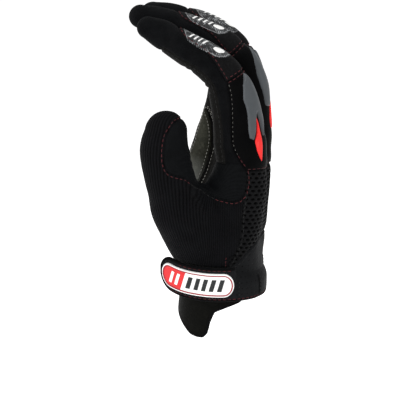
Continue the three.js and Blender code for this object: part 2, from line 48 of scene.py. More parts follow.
# ---- spines: x, y, z, r (half thickness), k (half width over r), millimetres ----------------
FINGERS = {
    "index": [(-43.0, -33.0, 165.0, 6.2, 0.95), (-36.0, -33.0, 161.5, 8.0, 0.95), (-27.0, -33.0, 156.5, 9.0, 0.95),
              (-18.5, -33.0, 151.5, 9.6, 0.94), (-9.5, -33.0, 146.5, 10.2, 0.90), (-2.0, -33.0, 140.5, 11.0, 0.85),
              (3.5, -33.0, 133.0, 12.0, 0.79), (6.5, -32.6, 123.0, 12.9, 0.74), (9.0, -32.0, 111.5, 13.5, 0.71),
              (11.0, -31.0, 98.0, 14.6, 0.70)],
    "middle": [(-48.0, -11.0, 170.0, 6.8, 0.95), (-40.0, -11.0, 167.5, 8.5, 0.95), (-28.0, -11.0, 164.0, 9.4, 0.95),
               (-16.0, -11.0, 160.0, 9.8, 0.94), (-5.0, -11.0, 154.5, 10.6, 0.90), (4.0, -11.0, 147.5, 11.4, 0.85),
               (10.5, -11.0, 138.5, 12.3, 0.79), (14.5, -11.0, 127.0, 13.2, 0.74), (16.0, -10.6, 114.5, 13.5, 0.71),
               (16.0, -10.0, 99.5, 14.2, 0.70)],
    "ring": [(-41.0, 10.5, 169.5, 7.2, 0.95), (-32.0, 10.5, 167.5, 8.7, 0.95), (-21.0, 10.5, 164.5, 9.2, 0.95),
             (-10.0, 10.5, 160.5, 9.8, 0.94), (-0.5, 10.5, 155.0, 10.2, 0.90), (7.5, 10.5, 147.5, 10.8, 0.85),
             (12.5, 10.5, 137.0, 11.8, 0.80), (15.0, 10.5, 124.0, 12.7, 0.75), (15.5, 10.5, 111.5, 13.1, 0.72),
             (15.0, 10.0, 96.5, 14.0, 0.71)],
    "little": [(-27.5, 31.5, 155.5, 6.6, 0.95), (-20.0, 31.5, 153.5, 7.9, 0.95), (-12.0, 31.5, 150.5, 8.6, 0.94),
               (-4.0, 31.5, 145.5, 9.0, 0.92), (1.0, 31.5, 138.5, 9.7, 0.87), (4.0, 31.5, 129.0, 10.8, 0.81),
               (5.0, 31.3, 118.0, 12.3, 0.73), (4.0, 31.0, 106.5, 13.9, 0.69), (1.5, 30.5, 94.5, 15.0, 0.68)],
}
RAYS = {
    "index": [(10.5, -30.8, 105.0, 11.0, 0.74), (11.4, -30.6, 96.0, 14.0, 0.74), (12.0, -30.0, 86.0, 15.1, 0.75), (11.0, -28.5, 70.5, 16.1, 0.77),
              (9.0, -26.0, 53.5, 16.6, 0.80), (5.5, -22.0, 35.0, 17.6, 0.86), (1.5, -17.5, 19.0, 20.6, 0.86),
              (0.0, -15.5, 0.0, 23.0, 0.82), (0.0, -15.5, -16.0, 23.0, 0.82)],
    "middle": [(15.5, -10.0, 105.0, 11.0, 0.74), (15.9, -10.0, 96.0, 13.4, 0.76), (16.0, -10.0, 85.5, 14.5, 0.78), (15.0, -9.5, 70.0, 15.3, 0.80),
               (13.0, -8.5, 54.0, 16.1, 0.84), (10.5, -7.0, 38.0, 17.1, 0.88), (5.5, -6.0, 21.5, 21.0, 0.90),
               (0.5, -5.0, 0.0, 24.4, 0.90), (0.5, -5.0, -16.0, 24.4, 0.90)],
    "ring": [(14.5, 10.0, 105.0, 10.6, 0.74), (13.8, 10.0, 95.0, 13.4, 0.76), (12.0, 10.0, 82.0, 15.0, 0.78), (10.0, 9.5, 66.5, 16.2, 0.80),
             (8.5, 9.0, 50.5, 17.0, 0.84), (6.5, 8.0, 35.0, 18.0, 0.88), (3.5, 7.0, 18.5, 21.4, 0.90),
             (0.0, 6.0, 0.0, 24.2, 0.90), (0.0, 6.0, -16.0, 24.2, 0.90)],
    "little": [(2.6, 30.8, 103.0, 11.0, 0.74), (1.0, 30.5, 93.0, 14.6, 0.72), (-1.5, 30.0, 81.0, 16.7, 0.71), (-3.5, 29.0, 66.0, 18.1, 0.71),
               (-3.5, 27.0, 50.5, 18.6, 0.75), (-2.0, 24.0, 34.5, 19.2, 0.80), (-0.5, 20.0, 18.0, 20.6, 0.82),
               (0.0, 17.0, 0.0, 22.6, 0.80), (0.0, 17.0, -16.0, 22.6, 0.80)],
}
THUMB = [(-32.5, -39.0, 104.5, 12.2, 0.90), (-33.5, -40.0, 93.5, 14.4, 0.90), (-31.5, -40.0, 81.0, 14.6, 0.88),
         (-28.5, -38.0, 69.0, 15.0, 0.86), (-24.0, -34.0, 56.5, 16.6, 0.84), (-17.0, -27.0, 43.0, 18.6, 0.82),
         (-9.5, -18.0, 29.0, 19.6, 0.82), (-4.0, -12.0, 14.0, 18.0, 0.82)]
WEB = [(-25.0, -35.0, 58.0, 13.0, 0.66), (-17.0, -33.5, 58.0, 12.0, 0.56), (-9.0, -31.5, 58.6, 11.6, 0.56),
       (-1.0, -30.0, 61.0, 12.6, 0.62), (8.0, -28.5, 66.0, 14.5, 0.70)]


def hermite(t, y, u):
    m = np.gradient(y, t)
    i = np.clip(np.searchsorted(t, u, side="right") - 1, 0, len(t) - 2)
    h = t[i + 1] - t[i]
    w = (u - t[i]) / h
    a, b = y[i], y[i + 1]
    return ((2 * w**3 - 3 * w**2 + 1) * a + (w**3 - 2 * w**2 + w) * h * m[i]
            + (-2 * w**3 + 3 * w**2) * b + (w**3 - w**2) * h * m[i + 1])


def unit(v):
    return v / np.maximum(np.linalg.norm(v, axis=-1, keepdims=True), 1e-9)


class Spine:
    def __init__(self, rows, step=1.2, power=2.15):
        rows = np.array(rows, float)
        t = np.concatenate([[0], np.cumsum(np.linalg.norm(np.diff(rows[:, :3], axis=0), axis=1))])
        u = np.linspace(0, t[-1], int(t[-1] / step) + 2)
        cols = np.stack([hermite(t, rows[:, j], u) for j in range(5)], 1)
        self.c, self.r, self.k, self.power = cols[:, :3], cols[:, 3], cols[:, 4], power
        self.s = np.concatenate([[0], np.cumsum(np.linalg.norm(np.diff(self.c, axis=0), axis=1))])
        self.t = unit(np.gradient(self.c, axis=0))  # from the tip down
        y = np.array([0.0, 1.0, 0.0])
        self.e2 = unit(y - self.t * (self.t @ y)[:, None])  # towards the little finger
        self.e1 = unit(np.cross(self.e2, self.t))  # towards the back of the hand
        if (self.e1[:, 0] + self.e1[:, 2]).mean() < 0:
            self.e1 = -self.e1
        self.lo = (self.c - (self.r * 1.05)[:, None]).min(0)
        self.hi = (self.c + (self.r * 1.05)[:, None]).max(0)

    def locate(self, P):
        """Nearest place on the spine: fractional index."""
        out = np.empty(len(P))
        cc = (self.c**2).sum(1)
        n = len(self.c)
        for a in range(0, len(P), 60000):
            Q = P[a:a + 60000]
            i = (cc[None] - 2 * Q @ self.c.T).argmin(1)
            best = np.full(len(Q), 1e9)
            at = i.astype(float)
            for j in (np.maximum(i - 1, 0), np.minimum(i, n - 2)):
                A, B = self.c[j], self.c[j + 1]
                d = B - A
                w = np.clip(((Q - A) * d).sum(1) / (d * d).sum(1), 0, 1)
                e = ((Q - A - d * w[:, None])**2).sum(1)
                ok = e < best
                best[ok] = e[ok]
                at[ok] = (j + w)[ok]
            out[a:a + 60000] = at
        return out

    def lerp(self, arr, at):
        i = np.clip(at.astype(int), 0, len(self.c) - 2)
        w = at - i
        if arr.ndim == 2:
            w = w[:, None]
        return arr[i] * (1 - w) + arr[i + 1] * w

    def polar(self, P):
        """s along the spine (negative past the tip), angle from the back, distance to the skin."""
        at = self.locate(P)
        d = P - self.lerp(self.c, at)
        a = (d * self.lerp(self.e1, at)).sum(1)
        b = (d * self.lerp(self.e2, at)).sum(1)
        c = (d * self.lerp(self.t, at)).sum(1)
        r, k = self.lerp(self.r, at), self.lerp(self.k, at)
        q = (np.abs(a)**self.power + np.abs(b / k)**self.power)**(1 / self.power)
        rho1 = np.sqrt(q * q + c * c)
        rho = np.sqrt(a * a + b * b + c * c)
        dist = (rho1 - r) * rho / np.maximum(rho1, 1e-6)
        dist = np.where(rho < 0.5, -r * k, dist)
        return self.lerp(self.s, at) + c, np.arctan2(b / k, a), dist

    def distance(self, P):
        return self.polar(P)[2]

    def point(self, s, theta, rho):
        at = np.interp(s, self.s, np.arange(len(self.s)))
        a, b = np.cos(theta) * rho, np.sin(theta) * rho
        return (self.lerp(self.c, at) + self.lerp(self.e1, at) * a[:, None]
                + self.lerp(self.e2, at) * b[:, None])


def smin(a, b, k):
    h = np.maximum(k - np.abs(a - b), 0) / k
    return np.minimum(a, b) - h * h * k * 0.25


SP = {
    "fingers": {n: Spine(v) for n, v in FINGERS.items()},
    "rays": {n: Spine(v, 2.0, 2.0) for n, v in RAYS.items()},
    "thumb": Spine(THUMB, 1.6, 2.1),
    "web": Spine(WEB, 2.0, 2.0),
}
BLEND_RAYS, BLEND_THUMB, BLEND_WEB, BLEND_FINGER = 9.0, 9.0, 9.0, 4.0


def part_distance(sp, P, margin=16.0):
    out = np.full(len(P), 1e3)
    ok = ((P > sp.lo - margin) & (P < sp.hi + margin)).all(1)
    if ok.any():
        out[ok] = sp.distance(P[ok])
    return out


def glove(P):
    """Signed distance to the glove's outside, millimetres."""
    body = None
    for sp in SP["rays"].values():
        d = part_distance(sp, P)
        body = d if body is None else smin(body, d, BLEND_RAYS)
    body = smin(body, part_distance(SP["thumb"], P), BLEND_THUMB)
    body = smin(body, part_distance(SP["web"], P), BLEND_WEB)
    out = body
    for sp in SP["fingers"].values():
        out = np.minimum(out, smin(body, part_distance(sp, P), BLEND_FINGER))
    return out


CORNERS = np.array([(0, 0, 0), (1, 0, 0), (0, 1, 0), (1, 1, 0), (0, 0, 1), (1, 0, 1), (0, 1, 1), (1, 1, 1)])
EDGES = [(0, 1), (2, 3), (4, 5), (6, 7), (0, 2), (1, 3), (4, 6), (5, 7), (0, 4), (1, 5), (2, 6), (3, 7)]


def surface_nets(vol, origin, h):
    s = vol < 0
    n = [v - 1 for v in vol.shape]
    acc = np.zeros(n, np.uint8)
    for dx, dy, dz in CORNERS:
        acc += s[dx:dx + n[0], dy:dy + n[1], dz:dz + n[2]]
    active = (acc > 0) & (acc < 8)
    ids = np.full(active.shape, -1)
    cells = np.argwhere(active)
    ids[active] = np.arange(len(cells))
    val = [vol[cells[:, 0] + c[0], cells[:, 1] + c[1], cells[:, 2] + c[2]] for c in CORNERS]
    pos = np.zeros((len(cells), 3))
    cnt = np.zeros(len(cells))
    for a, b in EDGES:
        cross = (val[a] < 0) != (val[b] < 0)
        w = val[a] / np.where(cross, val[a] - val[b], 1)
        p = CORNERS[a] + w[:, None] * (CORNERS[b] - CORNERS[a])
        pos[cross] += p[cross]
        cnt[cross] += 1
    V = np.array(origin) + (cells + pos / cnt[:, None]) * h
    quads = []
    for axis in range(3):
        o1, o2 = [(1, 2), (2, 0), (0, 1)][axis]
        a = np.moveaxis(s, axis, 0)
        change = a[:-1] != a[1:]
        change = np.moveaxis(change, 0, axis)
        idx = np.argwhere(change)
        ok = (idx[:, o1] > 0) & (idx[:, o2] > 0) & (idx[:, o1] < n[o1]) & (idx[:, o2] < n[o2])
        idx = idx[ok]
        u, v = np.zeros(3, int), np.zeros(3, int)
        u[o1], v[o2] = 1, 1
        c = [ids[tuple((idx - d).T)] for d in (0 * u, u, u + v, v)]
        q = np.stack(c, 1)
        inside = s[tuple(idx.T)]
        q[~inside] = q[~inside][:, ::-1]
        quads.append(q)
    Q = np.concatenate(quads)
    return V, Q

FULL = {n: Spine(FINGERS[n] + [r for r in RAYS[n] if r[2] < FINGERS[n][-1][2] - 6]) for n in FINGERS}
NAMES = list(FULL)
PIP = {"index": 55.8, "middle": 58.5, "ring": 57.0, "little": 47.0}  # middle joint, along the spine
PRINT = {"index": 15.5, "middle": 20.0, "ring": 19.0, "little": 12.0}  # where the back panel starts
ROUND = {"index": 12.5, "middle": 12.5, "ring": 12.5, "little": 11.5}  # mm per radian on a finger


# ---- noise -----------------------------------------------------------------------------------
def lattice(ix, iy, iz, seed):
    n = (ix * 374761393 + iy * 668265263 + iz * 1440662683 + seed * 974634777) & 0xFFFFFFFF
    n = ((n ^ (n >> 13)) * 1274126177) & 0xFFFFFFFF
    return ((n ^ (n >> 16)) & 0xFFFF) / 32767.5 - 1


def noise(P, scale, seed=0):
    q = P / scale
    i = np.floor(q).astype(np.int64)
    f = q - i
    f = f * f * (3 - 2 * f)
    out = np.zeros(len(P))
    for c in CORNERS:
        w = np.where(c, f, 1 - f).prod(1)
        out += w * lattice(i[:, 0] + c[0], i[:, 1] + c[1], i[:, 2] + c[2], seed)
    return out


def gradient(P, e=0.3):
    k = np.array([(1, -1, -1), (-1, -1, 1), (-1, 1, -1), (1, 1, 1)], float)
    return unit(sum(d * glove(P + d * e)[:, None] for d in k))


def step01(a, b, x):
    t = np.clip((x - a) / (b - a), 0, 1)
    return t * t * (3 - 2 * t)


# ---- mesh tools ------------------------------------------------------------------------------
def edge_keys(F, nv):
    e = np.stack([F, np.roll(F, -1, 1)], 2)  # (n, 3, 2)
    return np.minimum(e[..., 0], e[..., 1]) * nv + np.maximum(e[..., 0], e[..., 1])


def split(F, L, nv, keys, cut):
    """Cuts triangles at new vertices, one on each edge in cut (sorted keys)."""
    at = np.searchsorted(cut, keys)
    at = np.minimum(at, len(cut) - 1)
    m = np.where(cut[at] == keys, nv + at, -1)
    count = (m >= 0).sum(1)
    outF, outL = [F[count == 0]], [L[count == 0]]
    for n in (1, 2, 3):
        sel = count == n
        if not sel.any():
            continue
        f, c, lab = F[sel], m[sel], L[sel]
        if n == 1:
            r = (c >= 0).argmax(1)
        elif n == 2:
            r = ((c < 0).argmax(1) + 1) % 3
        else:
            r = np.zeros(len(f), int)
        idx = (r[:, None] + np.arange(3)) % 3
        f, c = np.take_along_axis(f, idx, 1), np.take_along_axis(c, idx, 1)
        a, b, d = f.T
        m0, m1, m2 = c.T
        if n == 1:
            new = [(a, m0, d), (m0, b, d)]
        elif n == 2:
            new = [(m0, b, m1), (a, m0, m1), (a, m1, d)]
        else:
            new = [(a, m0, m2), (m0, b, m1), (m2, m1, d), (m0, m1, m2)]
        for t in new:
            outF.append(np.stack(t, 1))
            outL.append(lab)
    return np.concatenate(outF), np.concatenate(outL)


def cut_along(V, A, F, L, f, which, snap=0.13):
    """Splits the triangles in which along f = 0. Returns the mesh and f on every vertex."""
    f = np.where(np.abs(f) < snap, 0.0, f)
    nv = len(V)
    keys = edge_keys(F, nv)
    a, b = F, np.roll(F, -1, 1)
    hit = (f[a] * f[b] < 0) & which[:, None]
    cut = np.unique(keys[hit])
    if not len(cut):
        return V, A, F, L, f
    i, j = cut // nv, cut % nv
    w = (f[i] / (f[i] - f[j]))[:, None]
    F, L = split(F, L, nv, keys, cut)
    V = np.concatenate([V, V[i] * (1 - w) + V[j] * w])
    A = np.concatenate([A, A[i] * (1 - w) + A[j] * w])
    f = np.concatenate([f, np.zeros(len(cut))])
    return V, A, F, L, f


def vertex_normals(V, F):
    n = np.cross(V[F[:, 1]] - V[F[:, 0]], V[F[:, 2]] - V[F[:, 0]])
    out = np.zeros_like(V)
    for k in range(3):
        np.add.at(out, F[:, k], n)
    return unit(out)


def border(F, nv):
    """Directed edges that only one triangle has."""
    e = np.stack([F, np.roll(F, -1, 1)], 2).reshape(-1, 2)
    code = e[:, 0] * nv + e[:, 1]
    back = e[:, 1] * nv + e[:, 0]
    return e[~np.isin(code, back)]


def closed(V, F, low):
    """V, F with a second skin at low, and walls between them."""
    n = len(V)
    e = border(F, n)
    wall = np.concatenate([np.stack([e[:, 1], e[:, 0], e[:, 0] + n], 1),
                           np.stack([e[:, 1], e[:, 0] + n, e[:, 1] + n], 1)])
    return np.concatenate([V, low]), np.concatenate([F, F[:, ::-1] + n, wall])


def inside_of(loop, P):
    """Depth inside a closed outline, negative outside."""
    best = np.full(len(P), 1e9)
    odd = np.zeros(len(P), bool)
    for a, b in zip(loop, np.roll(loop, -1, 0)):
        d = b - a
        w = np.clip(((P - a) @ d) / (d @ d), 0, 1)
        best = np.minimum(best, ((P - a - w[:, None] * d)**2).sum(1))
        with np.errstate(divide="ignore", invalid="ignore"):
            odd ^= ((a[1] > P[:, 1]) != (b[1] > P[:, 1])) & (
                P[:, 0] < d[0] * (P[:, 1] - a[1]) / (d[1] if d[1] else 1e-12) + a[0])
    return np.where(odd, 1, -1) * np.sqrt(best)


def smooth_loop(points, every=0.8, corner=0.5):
    """A closed outline through points, evenly stepped."""
    p = np.array(points, float)
    out = []
    n = len(p)
    for i in range(n):
        a, b, c, d = p[i - 1], p[i], p[(i + 1) % n], p[(i + 2) % n]
        k = max(int(np.linalg.norm(c - b) / every), 1)
        t = np.arange(k)[:, None] / k
        m0, m1 = (c - a) * corner * 0.5, (d - b) * corner * 0.5
        out.append((2 * t**3 - 3 * t**2 + 1) * b + (t**3 - 2 * t**2 + t) * m0
                   + (-2 * t**3 + 3 * t**2) * c + (t**3 - t**2) * m1)
    return np.concatenate(out)


def resample(line, every, phase=0.0):
    line = np.asarray(line, float)
    d = np.concatenate([[0], np.cumsum(np.linalg.norm(np.diff(line, axis=0), axis=1))])
    if d[-1] < every:
        return line[:0]
    u = np.arange(phase, d[-1], every)
    return np.stack([np.interp(u, d, line[:, k]) for k in range(line.shape[1])], 1)


# ---- the skin --------------------------------------------------------------------------------
def grid_skin():
    lo, hi = np.array([-60.0, -58.0, -4.0]), np.array([40.0, 50.0, 182.0])
    n = np.ceil((hi - lo) / CELL).astype(int) + 1
    ax = [lo[k] + np.arange(n[k]) * CELL for k in range(3)]
    vol = np.empty(n)
    for i in range(0, n[0], 12):
        X = np.stack(np.meshgrid(ax[0][i:i + 12], ax[1], ax[2], indexing="ij"), -1)
        vol[i:i + 12] = glove(X.reshape(-1, 3)).reshape(X.shape[:3])
    V, Q = surface_nets(vol, lo, CELL)
    e = np.concatenate([Q[:, [0, 1]], Q[:, [1, 2]], Q[:, [2, 3]], Q[:, [3, 0]]])
    for _ in range(3):
        N = gradient(V)
        V = V - N * glove(V)[:, None]
        acc, cnt = np.zeros_like(V), np.zeros(len(V))
        np.add.at(acc, e[:, 0], V[e[:, 1]])
        np.add.at(cnt, e[:, 0], 1)
        d = acc / np.maximum(cnt, 1)[:, None] - V
        d -= N * (d * N).sum(1)[:, None]
        V = V + d * 0.5
    N = gradient(V)
    V = V - N * glove(V)[:, None]
    d1 = np.linalg.norm(V[Q[:, 0]] - V[Q[:, 2]], axis=1)
    d2 = np.linalg.norm(V[Q[:, 1]] - V[Q[:, 3]], axis=1)
    s = (d1 < d2)[:, None]
    F = np.concatenate([np.where(s, Q[:, [0, 1, 2]], Q[:, [0, 1, 3]]),
                        np.where(s, Q[:, [0, 2, 3]], Q[:, [1, 2, 3]])])
    return V, F


# ---- panels ----------------------------------------------------------------------------------
# Seams seen from the thumb side, in x and z: the stretch panel of thumb, web and index base.
GUSSET_NEAR = [(-27.0, 111.0), (-29.3, 108.0), (-32.0, 104.0), (-33.0, 100.0), (-33.6, 94.0), (-33.5, 88.5),
               (-32.3, 83.8), (-30.2, 81.4), (-27.0, 80.1), (-20.6, 78.3), (-14.8, 72.3), (-8.2, 67.3), (-1.7, 64.2),
               (6.6, 62.4), (11.0, 63.4), (14.0, 66.6), (15.5, 72.7), (15.5, 78.0), (14.4, 82.0), (11.3, 85.9),
               (6.2, 85.4), (1.2, 84.7), (-10.0, 86.0), (-14.0, 100.0), (-18.0, 114.0)]
GUSSET_FAR = [(-27.0, 111.0), (-29.3, 108.0), (-32.0, 104.0), (-33.0, 100.0), (-33.6, 94.0), (-33.5, 88.5),
              (-32.0, 83.0), (-28.0, 76.0), (-22.0, 67.0), (-14.0, 60.0), (-6.0, 60.0), (0.0, 66.0), (3.0, 75.0),
              (1.2, 84.7), (-10.0, 86.0), (-14.0, 100.0), (-18.0, 114.0)]
KNUCKLE_EDGE = [(60.0, 15.5), (78.0, 15.5), (82.0, 14.4), (85.9, 11.3), (90.0, 9.0), (93.7, 7.1), (97.5, 5.9),
                (117.6, 5.6), (126.5, 4.9), (134.2, 2.8), (150.0, 0.0)]  # z, x on the index side
MESH_EDGE = [(20.0, 4.0), (24.0, 6.0), (29.0, 8.4), (35.0, 11.0), (42.0, 12.4), (55.0, 12.5), (61.8, 13.6), (66.6, 14.0),
             (72.7, 15.5), (90.0, 15.5)]  # z, x on the thumb side
CUFF_TOP = [(-180, 20.5), (-84, 20.5), (-76, 22.5), (-70, 25.0), (-62, 31.0), (-50, 36.0), (-25, 38.4), (0, 39.0),
            (25, 38.4), (50, 35.0), (70, 27.5), (84, 22.5), (95, 20.5), (180, 20.5)]  # degrees, z
SIDE_EDGE = [(0.0, 1.5), (23.0, 1.5), (45.0, -1.0), (70.0, -3.0), (84.0, -5.0), (98.0, -9.0), (110.0, -12.0)]  # z, x
PRINT_EDGE = [(-0.05, 0), (0.0, 12), (0.04, 34), (0.10, 48), (0.24, 57), (0.45, 62), (0.62, 70), (0.80, 84), (1.0, 90),
              (1.2, 90)]  # share of the way to the middle joint, degrees
LEATHER_DEG = 131.0


def ridge_y(P):
    """The y that parts the thumb side of the hand from the palm side, at x and z."""
    rows = [SP["thumb"].c, SP["web"].c, FULL["index"].c]
    c = np.concatenate([r[::3] for r in rows])
    out = np.empty(len(P))
    for a in range(0, len(P), 40000):
        Q = P[a:a + 40000]
        d2 = (Q[:, None, 0] - c[None, :, 0])**2 + (Q[:, None, 2] - c[None, :, 2])**2 + 2.0
        w = d2**-2.5
        out[a:a + 40000] = (w * c[None, :, 1]).sum(1) / w.sum(1)
    return out


def table(rows, x):
    t = np.array(rows, float)
    return np.interp(x, t[:, 0], t[:, 1])


def fields(P):
    """Charts and panel fields at points; a field is negative inside its panel, in millimetres."""
    x, y, z = P.T
    S, TH, D = [], [], []
    for n in NAMES:
        s, th, d = FULL[n].polar(P)
        S.append(s), TH.append(th), D.append(d)
    S, TH, D = np.array(S), np.array(TH), np.array(D)
    own = D.argmin(0)
    pick = lambda M: np.take_along_axis(M, own[None], 0)[0]
    s, th, d = pick(S), pick(TH), pick(D)
    ts, tt, td = SP["thumb"].polar(P)
    R = np.array([ROUND[n] for n in NAMES])[own]
    pip = np.array([PIP[n] for n in NAMES])[own]
    start = np.array([PRINT[n] for n in NAMES])[own]
    deg = np.degrees(th)
    mm = R * math.pi / 180

    ry = y - ridge_y(P)
    near = ry < 0
    xz = np.stack([x, z], 1)
    side = np.where(near, -inside_of(np.array(GUSSET_NEAR), xz), -inside_of(np.array(GUSSET_FAR), xz))
    beyond = np.where(near, -1e3, y - 4)  # nothing of the palm's far half
    gusset = np.maximum(side, beyond)
    gusset = np.maximum(gusset, np.where(near, -1e3, ry - 8.5))

    leather_f = np.maximum((LEATHER_DEG - np.abs(deg)) * mm, np.maximum(np.maximum(80 - z, 13.0 - s), d - 4.0))
    side_edge = table(SIDE_EDGE, z)
    side_edge = side_edge + (8.0 - side_edge) * step01(36, 26, y)  # the hollow of the palm lies further back
    leather_h = np.maximum(np.maximum(5.5 - ry, x - side_edge), z - np.where((y < -21) & (x < -12), 130.0, 103.5))
    leather = np.minimum(leather_f, leather_h)

    k_side = np.where((own == 0) & (th < 0) & near, table(KNUCKLE_EDGE, z) - x, (np.abs(deg) - 94) * mm)
    knuckle = np.maximum(np.maximum(k_side, pip - s), 80.8 - z)

    share = (s - start) / (pip - start)
    edge = table(PRINT_EDGE, share)
    printed = np.maximum(np.maximum((np.abs(deg) - edge) * mm, start - s), s - pip)

    mesh = np.maximum(np.where(y < -5, table(MESH_EDGE, z) - x, -8.0), z - 81)
    mesh = np.maximum(mesh, table(SIDE_EDGE, z) + 0.0 - x)

    phi = np.degrees(np.arctan2(y, x))
    cuff = z - table(CUFF_TOP, phi)

    finger = np.maximum(83.0 - z, d - td + 1.0)
    finger = np.where(z > 113, -5.0, finger)
    finger = np.where((z > 113) & (td < d), 5.0, finger)
    F = {"cuff": cuff, "gusset": gusset, "leather": leather, "knuckle": knuckle, "printed": printed,
         "mesh": mesh, "finger": finger}
    for i, n in enumerate(NAMES):
        F["own_" + n] = D[i] - np.min(np.delete(D, i, 0), 0)
    F.update(s=s, cos=np.cos(th), sin=np.sin(th), ts=ts, tcos=np.cos(tt), tsin=np.sin(tt), ry=ry,
             tdist=td, fdist=d)
    return F


PIECES = ["cuff_band", "thumb_gusset", "palm_leather", "knuckle_cover", "print_index", "print_middle", "print_ring",
          "print_little", "back_mesh", "finger_index", "finger_middle", "finger_ring", "finger_little", "thumb_side_knit"]
CUFF, GUSSET, LEATHER, KNUCKLE, PRINTED, MESH, FINGER, KNIT = 0, 1, 2, 3, 4, 8, 9, 13


def panels(V, F):
    f = fields(V)
    names = list(f)
    A = np.stack([f[n] for n in names], 1)
    col = {n: i for i, n in enumerate(names)}
    L = np.full(len(F), -1)
    # the hem
    V, A, F, L, h = cut_along(V, A, F, L, -V[:, 2], np.ones(len(F), bool))
    keep = h[F].sum(1) < 0
    F, L = F[keep], L[keep]

    def take(name, label, within=-1):
        nonlocal V, A, F, L
        V, A, F, L, g = cut_along(V, A, F, L, A[:, col[name]], L == within)
        A[:, col[name]] = g
        L = np.where((L == within) & (g[F].sum(1) < 0), label, L)

    take("cuff", CUFF)
    take("gusset", GUSSET)
    take("leather", LEATHER)
    take("knuckle", KNUCKLE)
    take("printed", PRINTED)
    take("mesh", MESH)
    take("finger", FINGER)
    L[L == -1] = KNIT
    for base in (PRINTED, FINGER):
        for k in (3, 2, 1):
            take("own_" + NAMES[k], base + k, base)
    return V, A, F, absorb(F, L, len(V)), col


def absorb(F, L, nv, least=120):
    """Gives each small island of a piece to the piece round it."""
    keys = edge_keys(F, nv).ravel()
    order = np.argsort(keys, kind="stable")
    k, o = keys[order], np.repeat(np.arange(len(F)), 3)[order]
    same = k[1:] == k[:-1]
    a, b = o[:-1][same], o[1:][same]
    ia, ib = a[L[a] == L[b]], b[L[a] == L[b]]
    part = np.arange(len(F))
    while True:
        low = np.minimum(part[ia], part[ib])
        new = part.copy()
        np.minimum.at(new, ia, low)
        np.minimum.at(new, ib, low)
        new = new[new]
        if (new == part).all():
            break
        part = new
    _, part, size = np.unique(part, return_inverse=True, return_counts=True)
    L = L.copy()
    for i in np.flatnonzero(size < least):
        mine_a, mine_b = part[a] == i, part[b] == i
        others = np.concatenate([L[b[mine_a & ~mine_b]], L[a[mine_b & ~mine_a]]])
        if len(others):
            L[part == i] = np.bincount(others).argmax()
            print("absorbed an island of", int(size[i]), "faces")
    return L


def adjacent(F, L, nv):
    """Edges between two pieces: vertex pairs and their labels."""
    keys = edge_keys(F, nv).ravel()
    owner = np.repeat(np.arange(len(F)), 3)
    order = np.argsort(keys, kind="stable")
    k, o = keys[order], owner[order]
    same = k[1:] == k[:-1]
    a, b, kk = o[:-1][same], o[1:][same], k[1:][same]
    diff = L[a] != L[b]
    pair = np.sort(np.stack([L[a][diff], L[b][diff]], 1), 1)
    return np.stack([kk[diff] // nv, kk[diff] % nv], 1), pair


def chains(edges):
    """Polylines of vertex numbers out of a set of edges."""
    link = {}
    for a, b in edges:
        link.setdefault(int(a), []).append(int(b))
        link.setdefault(int(b), []).append(int(a))
    used, out = set(), []

    def walk(a, b):
        line = [a, b]
        used.add((min(a, b), max(a, b)))
        while len(link[line[-1]]) == 2:
            nxt = [c for c in link[line[-1]] if (min(line[-1], c), max(line[-1], c)) not in used]
            if not nxt:
                break
            used.add((min(line[-1], nxt[0]), max(line[-1], nxt[0])))
            line.append(nxt[0])
        return line

    for start in [v for v in link if len(link[v]) != 2] + list(link):
        for b in link[start]:
            if (min(start, b), max(start, b)) not in used:
                out.append(walk(start, b))
    return out


def nearest(tree_points, P):
    kd = KDTree(len(tree_points))
    for i, p in enumerate(tree_points):
        kd.insert(p, i)
    kd.balance()
    return np.array([kd.find(p)[2] for p in P])


# ---- building the skin -------------------------------------------------------------------------
V, F = grid_skin()
V, A, F, L, COL = panels(V, F)

HIDDEN_PAIRS = [(FINGER + i, FINGER + j) for i in range(4) for j in range(i + 1, 4)] + [
    (PRINTED + i, PRINTED + j) for i in range(4) for j in range(i + 1, 4)] + [
    (FINGER + i, KNIT) for i in range(4)]


def seam_edges():
    E, pair = adjacent(F, L, len(V))
    hidden = np.zeros(len(E), bool)
    for a, b in HIDDEN_PAIRS:
        hidden |= (pair[:, 0] == a) & (pair[:, 1] == b)
    return E[~hidden], pair[~hidden]


def refine(which):
    """Halves the edges whose two ends are both in which."""
    global V, A, F, L
    nv = len(V)
    keys = edge_keys(F, nv)
    a, b = F, np.roll(F, -1, 1)
    long = np.linalg.norm(V[a] - V[b], axis=2) > 0.42
    cut = np.unique(keys[which[a] & which[b] & long])
    if not len(cut):
        return
    i, j = cut // nv, cut % nv
    F, L = split(F, L, nv, keys, cut)
    mid = (V[i] + V[j]) / 2
    V = np.concatenate([V, mid])
    A = np.concatenate([A, (A[i] + A[j]) / 2])


E, PAIR = seam_edges()
seam_lines = []  # (labels, smooth polyline), taken before the mesh is refined
for key in sorted(set(map(tuple, PAIR))):
    sel = (PAIR[:, 0] == key[0]) & (PAIR[:, 1] == key[1])
    for line in chains(E[sel]):
        p = V[line]
        for _ in range(4):
            p[1:-1] = p[1:-1] * 0.5 + (p[:-2] + p[2:]) * 0.25
        seam_lines.append((key, p))
SEAM_POINTS = np.concatenate([resample(p, 0.5) for _, p in seam_lines if len(p) > 1])
dist = nearest(SEAM_POINTS, V)
for reach in (2.1, 0.95):
    old = len(V)
    refine(dist < reach)
    new = V[old:]
    N = gradient(new)
    V[old:] = new - N * glove(new)[:, None]
    dist = np.concatenate([dist, nearest(SEAM_POINTS, V[old:])])
in_mesh = np.zeros(len(V), bool)
in_mesh[F[L == MESH]] = True
refine(in_mesh)
n_old = len(dist)
new = V[n_old:]
V[n_old:] = new - gradient(new) * glove(new)[:, None]
dist = np.concatenate([dist, nearest(SEAM_POINTS, V[n_old:])])

N = gradient(V)
col = lambda n: A[:, COL[n]]


